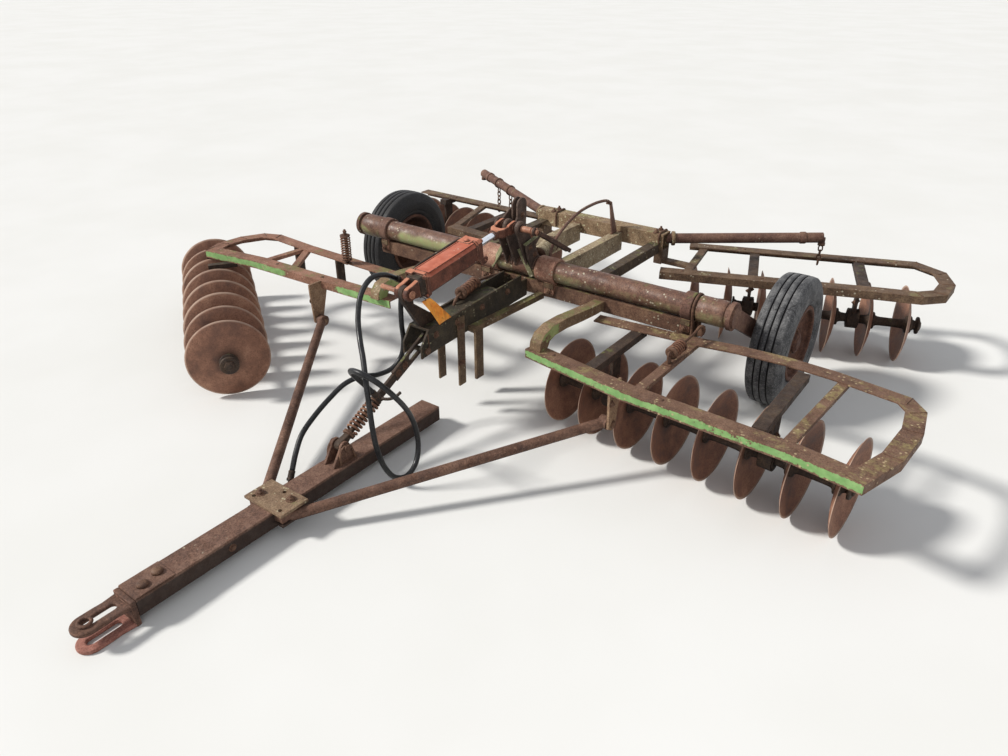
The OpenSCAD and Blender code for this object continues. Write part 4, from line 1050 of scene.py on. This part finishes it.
kit = Kit()
kit.plate([circle(0, 0, .024, 26, 90, 270) + [(.06, -.012), (.06, .012)], circle(0, 0, .0134, 22)], .032,
          along_link(.032), .004)
kit.rod((.05, 0, 0), (.3, 0, 0), .0118, DARK, 20, .001, LINK)
thread = []
for i in range(THREAD_TURNS * THREAD_SIDES + 1):
    a = i * 2 * math.pi / THREAD_SIDES
    x = THREAD_START + THREAD_LENGTH * i / (THREAD_TURNS * THREAD_SIDES)
    thread.append(LINK @ Vector((x, .0112 * math.cos(a), .0112 * math.sin(a))))
kit.sweep(thread, .0014, sides=6)
kit.lathe([(.0118, .262), (.024, .262), (.0278, .266), (.0278, .274), (.024, .278), (.026, .284),
           (.0278, .29), (.0278, .298), (.024, .3), (.0118, .3)], LINK_AXIS, 32)
kit.ring([(.012, .058), (.029, .058), (.03, .06), (.03, .067), (.012, .068)], LINK_AXIS, 32, BOLT)
# crank handle of the screw, and its plate with a long slot
handle = [Vector(p) for p in ((.288, -.02, 0), (.29, -.045, .004), (.3, -.07, .006), (.322, -.086, .004),
                              (.352, -.09, 0))]
kit.sweep([LINK @ p for p in spline(handle, 6)], .0075)
kit.box((.298, -.008, -.021), (.424, .008, .021), .003, DARK, LINK)
kit.plate([[(.415, -.03), (.6, -.034)] + circle(.67, 0, .034, 22, -90, 90) + [(.6, .034), (.415, .03)],
           circle(.545, 0, .0166, 12, 90, 270) + circle(.645, 0, .0166, 12, -90, 90)], .016,
          along_link(.016), .003)
for x in (.44, .492):
    kit.bolt(LINK @ Vector((x, -.008, 0)), LINK.to_3x3() @ -BACK, .011, BOLT, .008)
kit.make("levelling_screw", [DARK, BOLT], "leveller", ["levelling_link"])

kit = Kit()
kit.helix(LINK @ Vector((.083, 0, 0)), LINK @ Vector((.249, 0, 0)), .0275, .0058, 8.5, jitter=.0008)
for x in (.0685, .2545):
    kit.ring([(.0124, x), (.0285, x), (.03, x + .002), (.03, x + .005), (.0124, x + .005)],
             LINK_AXIS, 28, BOLT)
kit.make("link_coil", [SPRING, BOLT], "leveller", ["link_spring"])

# Rounded rims of the bracket on the tongue, its pin's washer and cotter, and its welds
kit = Kit()
arch = path_at((0, -1.452, .118), (0, -1.45, .16), (0, -1.436, .192), (0, -1.41, .2035), (0, -1.386, .19),
               (0, -1.374, .16), (0, -1.364, .118))
for x in (-.0395, .0395):
    kit.sweep([p + LEFT * x for p in spline(arch, 6)], flat=(.009, .01), up=LEFT)
kit.collar(.0128, .02, -.0475, -.044, move(LINK_LOW + SHIFT) @ turn(90, "Y"), 24)
kit.hexa(at(.0442, -1.41, .19), LEFT, .018, .01)
kit.rod(at(-.046, -1.41, .206), at(-.046, -1.41, .172), .0024, BOLT, 8)
for x, seed in ((-.034, 5), (.0345, 6)):
    kit.bead(at(x, -1.476, .1175), at(x, -1.358, .1175), .004, BOLT, seed)
kit.make("link_bracket_rings", [BOLT], "tongue")

# Straps round the rockshaft: a ring, two folded feet with bolts, and a sleeve inside the middle straps
INNER_REACH, FOOT_Y, U_BOLT_X = .052, .0535, 1.038
kit = Kit()
for x, width in ((-1, .05), (-.212, .06), (.212, .06), (1, .05)):
    half, middle = width / 2, abs(x) < .5
    low = -half - INNER_REACH if middle and x > 0 else -half
    high = half + INNER_REACH if middle and x < 0 else half
    kit.lathe([(.06, low - .001), (.069, low - .0015), (.0712, low + .002), (.0708, low + .008),
               (.0706, (low + high) / 2), (.071, high - .005), (.0712, high - .001), (.069, high + .0015),
               (.06, high + .001)], move(at(x, 0, SHAFT_Z)) @ turn(90, "Y"), 64, BAND if middle else CARRIER)
    for y in (-1, 1):
        kit.box(at(x - half, y * .0484, .548), at(x + half, y * FOOT_Y, .575))
        kit.bolt(at(x, y * FOOT_Y, .531), BACK * y, .0105, BOLT, .012)
        kit.bead(at(x - half, y * .0486, .513), at(x + half, y * .0486, .513), .004, BOLT, int(x * 10) + y)
# U bolt at the near end
rising = [(-.046, .48), (-.05, .56), (-.0645, .62), (-.052, .672), (0, .6985)]
u_bolt = rising + [(-y, z) for y, z in rising[-2::-1]]
kit.sweep(spline([at(U_BOLT_X, y, z) for y, z in u_bolt], 6), .0068, BOLT)
kit.box(at(1.02, -.066, .4815), at(1.056, .066, .4895), .0015)
for y in (-.046, .046):
    kit.hexa(at(U_BOLT_X, y, .4815), -UP, .013, .011, BOLT)
kit.make("strap_details", [STRAP, BOLT, BAND, CARRIER], "frame")

# Lever plates: a bossed plate each side of the fork, two tall round-ended ears and a low gusset
SEAT_R, WELD_R = .0585, .059
foot = circle(0, SHAFT_Z, SEAT_R, 18, 64.8, 176.4)
front = circle(0, SHAFT_Z, SEAT_R, 14, 75.6, 176.4)
boss = circle(LEVER.y, LEVER.z, .0385, 18, 201.6, 39.6)
ear = circle(-.008, .955, .0415, 18, 180, 0) + [(.03, .86), (.022, .71)]
hole = [circle(LEVER.y, LEVER.z, .0275, 26)]
gusset = [(-.096, .7), (-.122, .786), (.022, .812), (.016, .8), (-.03, .764), (0, .7)]
kit = Kit()
for x, thick, outline, holes in (
        (-.062, .01, foot + boss + [(-.036, .935), (-.012, .915), (.024, .72)], hole),
        (-.036, .01, foot + [(-.056, .7), (-.0495, .86)] + ear, []),
        (-.006, .012, foot + boss + [(-.06, .88), (-.0495, .9)] + ear, hole),
        (.07, .012, front + boss + [(-.066, .862), (-.02, .78), (.006, .72)], hole),
        (.1, .012, front + gusset, [])):
    kit.plate([outline] + holes, thick, side_view(x), .0025)
    kit.bead(at(x - .001, -.0595, .636), at(x - .001, -.052, .668), .0036, BOLT, int(x * 999))
    weld = circle(0, SHAFT_Z, WELD_R, 18, 72, 171)
    kit.sweep([at(x + thick + .001, y, z) for y, z in weld], .0038, BOLT, 8)
# pale flange along the gusset's top, spacers and bolts between the plates
kit.sweep(path_at((.106, -.124, .7885), (.106, -.05, .8025), (.106, .024, .8165)), mat=PALE, flat=(.02, .006))
for y, z in ((-.008, .905), (-.012, .76)):
    kit.rod(at(-.026, y, z), at(-.006, y, z), .011, LEVER_STEEL, 18)
    kit.bolt(at(.006, y, z), LEFT, .0095, BOLT, .006)
for y, z in ((-.04, .715), (-.082, .765)):
    kit.bolt(at(.112, y, z), LEFT, .0095, BOLT, .006)
kit.rod(at(.082, -.05, .745), at(.1, -.05, .745), .012, LEVER_STEEL, 18)
# pale legs that straddle the tube's front
kit.sweep(path_at((-.158, -.06, .6), (-.11, -.064, .678), (-.062, -.066, .756)), mat=PALE, flat=(.011, .034))
kit.sweep(path_at((.112, -.062, .596), (.07, -.066, .668), (.03, -.068, .738)), mat=PALE, flat=(.01, .024))
kit.bead(at(-.168, -.0575, .612), at(-.142, -.0575, .6), .0042, BOLT, 4)
kit.make("lever_assembly", [LEVER_STEEL, BOLT, PALE], "rockshaft", ["lever_plates"])

# Sleeves on the rockshaft's ends, with a rounded collar
kit = Kit()
for side, inner in ((-1, 1.029), (1, 1.05)):
    kit.ring([(SHAFT_R, inner), (.064, inner), (.0652, inner + .002), (.0652, 1.166), (.064, 1.178),
              (.0605, 1.185), (SHAFT_R, 1.187)],
             move(at(0, 0, SHAFT_Z)) @ turn(90, "Y") @ Matrix.Scale(side, 4, (0, 0, 1)), 64)
kit.make("end_sleeves", [TUBE], "rockshaft")

# Flat strap that hangs from the cylinder's pin end
kit = Kit()
start = BARREL @ Vector((.182, 0, PIN_TO_PIN))
for x in (-.012, .012):
    tail = ((x, .006, -.004), (x, .08, -.046), (x + .005, .2, -.118), (x + .01, .3, -.18))
    kit.sweep(spline([start + Vector(p) for p in tail], 6), flat=(.022, .01), up=LEFT)
for y in (.12, .27):
    z = -.004 - y * .585
    kit.rod(start + Vector((-.016, y, z)), start + Vector((.02, y, z)), .006, STOP_STEEL, 12)
kit.collar(.0128, .0225, -.0185, -.0035, move(start) @ turn(90, "Y"), 26, STOP_STEEL, .0015, .0015)
kit.make("stop_strap", [STOP_STEEL], "cylinder_rod")

# Rear channel: tapered plate, bent bar, bolts, U bolts, welds, and plates where the carrier tubes leave it
kit = Kit()
base = at(.142, .778, .6205)
half_plate = [(.03, 0), (.013, .16), (.012, .19)]
kit.plate([[(-.03, 0)] + half_plate + [(0, .2)] + [(-x, z) for x, z in half_plate[:0:-1]]], .01,
          move(base) @ turn(-8, "Y") @ turn(5, "X") @ turn(90, "Z") @ turn(90, "X") @ move((0, 0, -.005)),
          .002, CARRIER)
bar = path_at((.105, .772, .806), (.103, .73, .826), (.1, .66, .836), (.1, .58, .84), (.1, .47, .836),
              (.1, .367, .818), (.1, .27, .784), (.102, .182, .738), (.112, .12, .692), (.126, .09, .65),
              (.134, .082, .6205))
kit.sweep(spline(bar, 6), .0088, CARRIER)
kit.rod(at(.092, .752, .806), at(.126, .752, .806), .008, BOLT, 14)
kit.bead(base + Vector((-.006, -.03, .001)), base + Vector((-.006, .03, .001)), .005, BOLT, 2)
for x in (-.335, .395):
    for y in (.84, .9):
        kit.bolt(at(x, y, .656), UP, .0125, BOLT, .014)
    hoop = ((.818, .57), (.8145, .62), (.822, .6585), (.87, .6625), (.918, .6585), (.9255, .62), (.922, .57))
    kit.sweep(spline([at(x + .03, y, z) for y, z in hoop], 5), .0062, BOLT, 10)
for x in (-.15, .15):
    for y, radius, seed in ((.8215, .0055, 9), (.0682, .005, 8)):
        kit.bead(at(x - .028, y, .6205), at(x + .028, y, .6205), radius, BOLT, seed)
for end, inner in (((1.215, 1.38, .64), (.4, .872, .612)), ((-1.31, 1.36, .64), (-.4, .872, .612))):
    ahead = unit(at(*end) - at(*inner))
    kit.collar(.0306, .043, 0, .02, look(at(*inner) + ahead * .075, ahead), 36, CHANNEL, .002, .003)
kit.make("rear_channel_fittings", [CHANNEL, BOLT, CARRIER], "frame")

# Collars, caps and chain eyes on the carrier tubes' outer ends
kit = Kit()
for end, inner in (TUBE_LEFT, TUBE_RIGHT):
    place = look(end, unit(inner - end))
    kit.collar(.0306, .0352, .1, .13, place, 36, CARRIER, .0007, .003)
    kit.lathe([(AXIS, -.0012), (.024, -.0012), (.0262, .001), (.0262, .004)], place, 32)
    kit.collar(.0182, .021, 0, .016, move(end - UP * .047), 24, BOLT)
kit.make("carrier_collars", [CARRIER, BOLT], "frame")

# Gang frames: seams, plug welds and bolt heads along their outlines, in machine millimetres
FRAME_TOP, BOLT_STEP, FIRST_BOLT, BOLT_INSET, BOLT_SPREAD, END_ROOM = .5, .42, .14, .045, .03, .08
STRAIGHT, LONG_RUN, SEAM_FROM, SEAM_TO = .985, .3, .004, .074
FRONT_LEFT = [(470, -637), (1030, -728), (1750, -762), (2030, -808), (2108, -570), (2130, -330), (2108, -150),
              (2035, -60), (1720, -8), (1500, 4), (1270, -12), (1080, -46), (560, -92)]
FRONT_RIGHT = [(-440, -262), (-1070, -250), (-1460, -240), (-1790, -215), (-1905, -262), (-1975, -400),
               (-1985, -560), (-1930, -697), (-1520, -640), (-440, -602)]
REAR_LEFT = [(530, 640), (1640, 1060), (1850, 1130), (1950, 1235), (1958, 1420), (1880, 1600), (1700, 1694),
             (460, 1222)]
REAR_RIGHT = [(-450, 1178), (-1740, 1192)]


def frame_details(name, path, seed):
    """A seam at each bend, and plug welds with bolt heads below them on each long run."""
    draw = random.Random(seed)
    kit = Kit()
    points = [at(x / 1000, y / 1000, FRAME_TOP) for x, y in path]
    for i, (a, b) in enumerate(zip(points, points[1:])):
        ahead = unit(b - a)
        inward = Vector((-ahead.y, ahead.x, 0))
        if i and unit(a - points[i - 1]).dot(ahead) < STRAIGHT:
            seam = a + UP * .0006
            kit.bead(seam + inward * SEAM_FROM, seam + inward * SEAM_TO, .0028, BOLT, seed + i)
        if (b - a).length < LONG_RUN:
            continue
        for j in range(int((b - a).length / BOLT_STEP)):
            run = FIRST_BOLT + BOLT_STEP * j + draw.uniform(-BOLT_SPREAD, BOLT_SPREAD)
            p = a + ahead * run + inward * BOLT_INSET
            if (b - p).dot(ahead) < END_ROOM:
                break
            kit.lathe([(AXIS, .0052), (.006, .0048), (.0095, .003), (.0112, 0)], look(p, UP), 18)
            kit.hexa(p - UP * .008, -UP, .0125, .009, BOLT, draw.random())
    kit.make(name, [BOLT], "frame")


frame_details("front_left_fasteners", FRONT_LEFT, 11)
frame_details("front_right_fasteners", FRONT_RIGHT, 12)
frame_details("rear_left_fasteners", REAR_LEFT, 13)
frame_details("rear_right_fasteners", REAR_RIGHT, 14)

# Fasteners of the frame
kit = Kit()
# goosenecks: seat bolts on the bar and welds on the cross beam
for x in (.52, -.52):
    for y in (-.614, -.587):
        kit.bolt(at(x + .012, y, .5), UP, .0085, BOLT, .006)
    for d in (-.03, .03):
        kit.bead(at(x + d, -.0395, .508), at(x + d, -.0395, .55), .0042, BOLT, 4)
# drawbar brackets: hinge pin nuts and a bolt through the bar's face
for side in (-1, 1):
    kit.hexa(at(side * .967, -.665, .28), LEFT * side, .019, .011)
    kit.bolt(at(side * .967, -.69, .4), LEFT * side, .0105, BOLT, .008)
# cylinder bracket's boss rings, and centre frame bolts
for side in (-1, 1):
    kit.ring([(.0134, 0), (.03, 0), (.032, .002), (.0134, .0035)],
             look(at(side * .0125, BASE.y, BASE.z), LEFT * side), 30)
for y in (-.8, -.64, -.44, -.22):
    kit.bolt(at(.0622, y, .52 + (y + .8) * .05), LEFT, .0105, BOLT, .008)
for y in (-.64, -.615):
    for z in (.3, .5):
        kit.bolt(at(.0722, y, z), LEFT, .009, BOLT, .006)
for side in (1, -1):
    kit.hexa(at(side * .0622, -.87, .46), LEFT * side, .02, .012)
kit.bead(at(.0625, -.85, .44), at(.0625, -.86, .545), .004, BOLT, 1)
kit.make("frame_fasteners", [BOLT], "frame")

# Bearing housings: a flange, two bolts and a grease nipple on each, counted in blade gaps along the gang
BEARINGS = {"front_gang_left": (1.5, 5.5), "front_gang_right": (1.5, 2.5), "rear_gang_left": (1.5, 4.5),
            "rear_gang_right": (1.5, 4.5)}
kit = Kit()
for node, _, x, y, yaw, *_ in GANGS:
    axle = turn(yaw, "Z").to_3x3() @ LEFT
    out = turn(yaw, "Z").to_3x3() @ BACK
    for gaps in BEARINGS[node]:
        middle = at(x / 1000, y / 1000, DISC_R) + axle * gaps * GAP
        for t in (-1, 1):
            kit.ring([(.03, .0312), (.046, .0312), (.049, .0335), (.03, .036)],
                     look(middle, axle * t), 36, HANGER)
            kit.bolt(middle + axle * t * .0092 + UP * .105 + out * .016 * t, axle * t, .0095, BOLT, .008)
        kit.rod(middle + out * .0575, middle + out * .07, .0045, BOLT, 12)
        kit.lathe([(AXIS, .074), (.003, .073), (.0036, .07), (AXIS, .07)], look(middle, out), 12)
kit.make("bearing_details", [BOLT, HANGER], "frame")

# Pale floor
FLOOR_HALF = 90
mesh = bpy.data.meshes.new("floor")
mesh.from_pydata([(x * FLOOR_HALF, y * FLOOR_HALF, 0) for x, y in ((-1, -1), (1, -1), (1, 1), (-1, 1))],
                 [], [(0, 1, 2, 3)])
floor = linked("floor", mesh)
m = Mat("pale_floor")
floor_color = m.mix(m.span(m.noise(.7, 3), .3, .7), rgb((222, 222, 219)), rgb((226, 226, 224)))
mesh.materials.append(m.done(floor_color, .85, spec=.2))

# Sun and a large soft lamp in front
SUN_POWER, SUN_ANGLE, SUN_COLOR, SUN_FROM = 3.85, 9, (1, .975, .93), Vector((-.62, -.5, .66))
FILL_POWER, FILL_SIZE, FILL_AT = 120, 8, Vector((6.5, -6.5, 5.5))
sun = linked("key", bpy.data.lights.new("key", "SUN"))
sun.data.energy = SUN_POWER
sun.data.angle = math.radians(SUN_ANGLE)
sun.data.color = SUN_COLOR
sun.rotation_euler = look(Vector(), SUN_FROM).to_euler()
fill = linked("fill", bpy.data.lights.new("fill", "AREA"))
fill.data.energy = FILL_POWER
fill.data.size = FILL_SIZE
fill.matrix_world = look(FILL_AT, FILL_AT - UP * .5)

# World: a dim sky on the object, and a white one for the camera and in what mirrors or lets light through
SKY_COLOR, SKY_POWER, WHITE = (.93, .95, 1, 1), .45, 1
world = bpy.data.worlds.new("studio")
bpy.context.scene.world = world
world.use_nodes = True
nodes, links = world.node_tree.nodes, world.node_tree.links
sky = nodes["Background"]
sky.inputs[0].default_value = SKY_COLOR
rays = nodes.new("ShaderNodeLightPath").outputs
seen = rays["Is Camera Ray"]
for kind in ("Is Glossy Ray", "Is Transmission Ray"):
    most = nodes.new("ShaderNodeMath")
    most.operation = "MAXIMUM"
    links.new(seen, most.inputs[0])
    links.new(rays[kind], most.inputs[1])
    seen = most.outputs[0]
power = nodes.new("ShaderNodeMapRange")
power.inputs[3].default_value = SKY_POWER
power.inputs[4].default_value = WHITE
links.new(seen, power.inputs[0])
links.new(power.outputs[0], sky.inputs[1])
bpy.context.scene.view_settings.view_transform = "Standard"
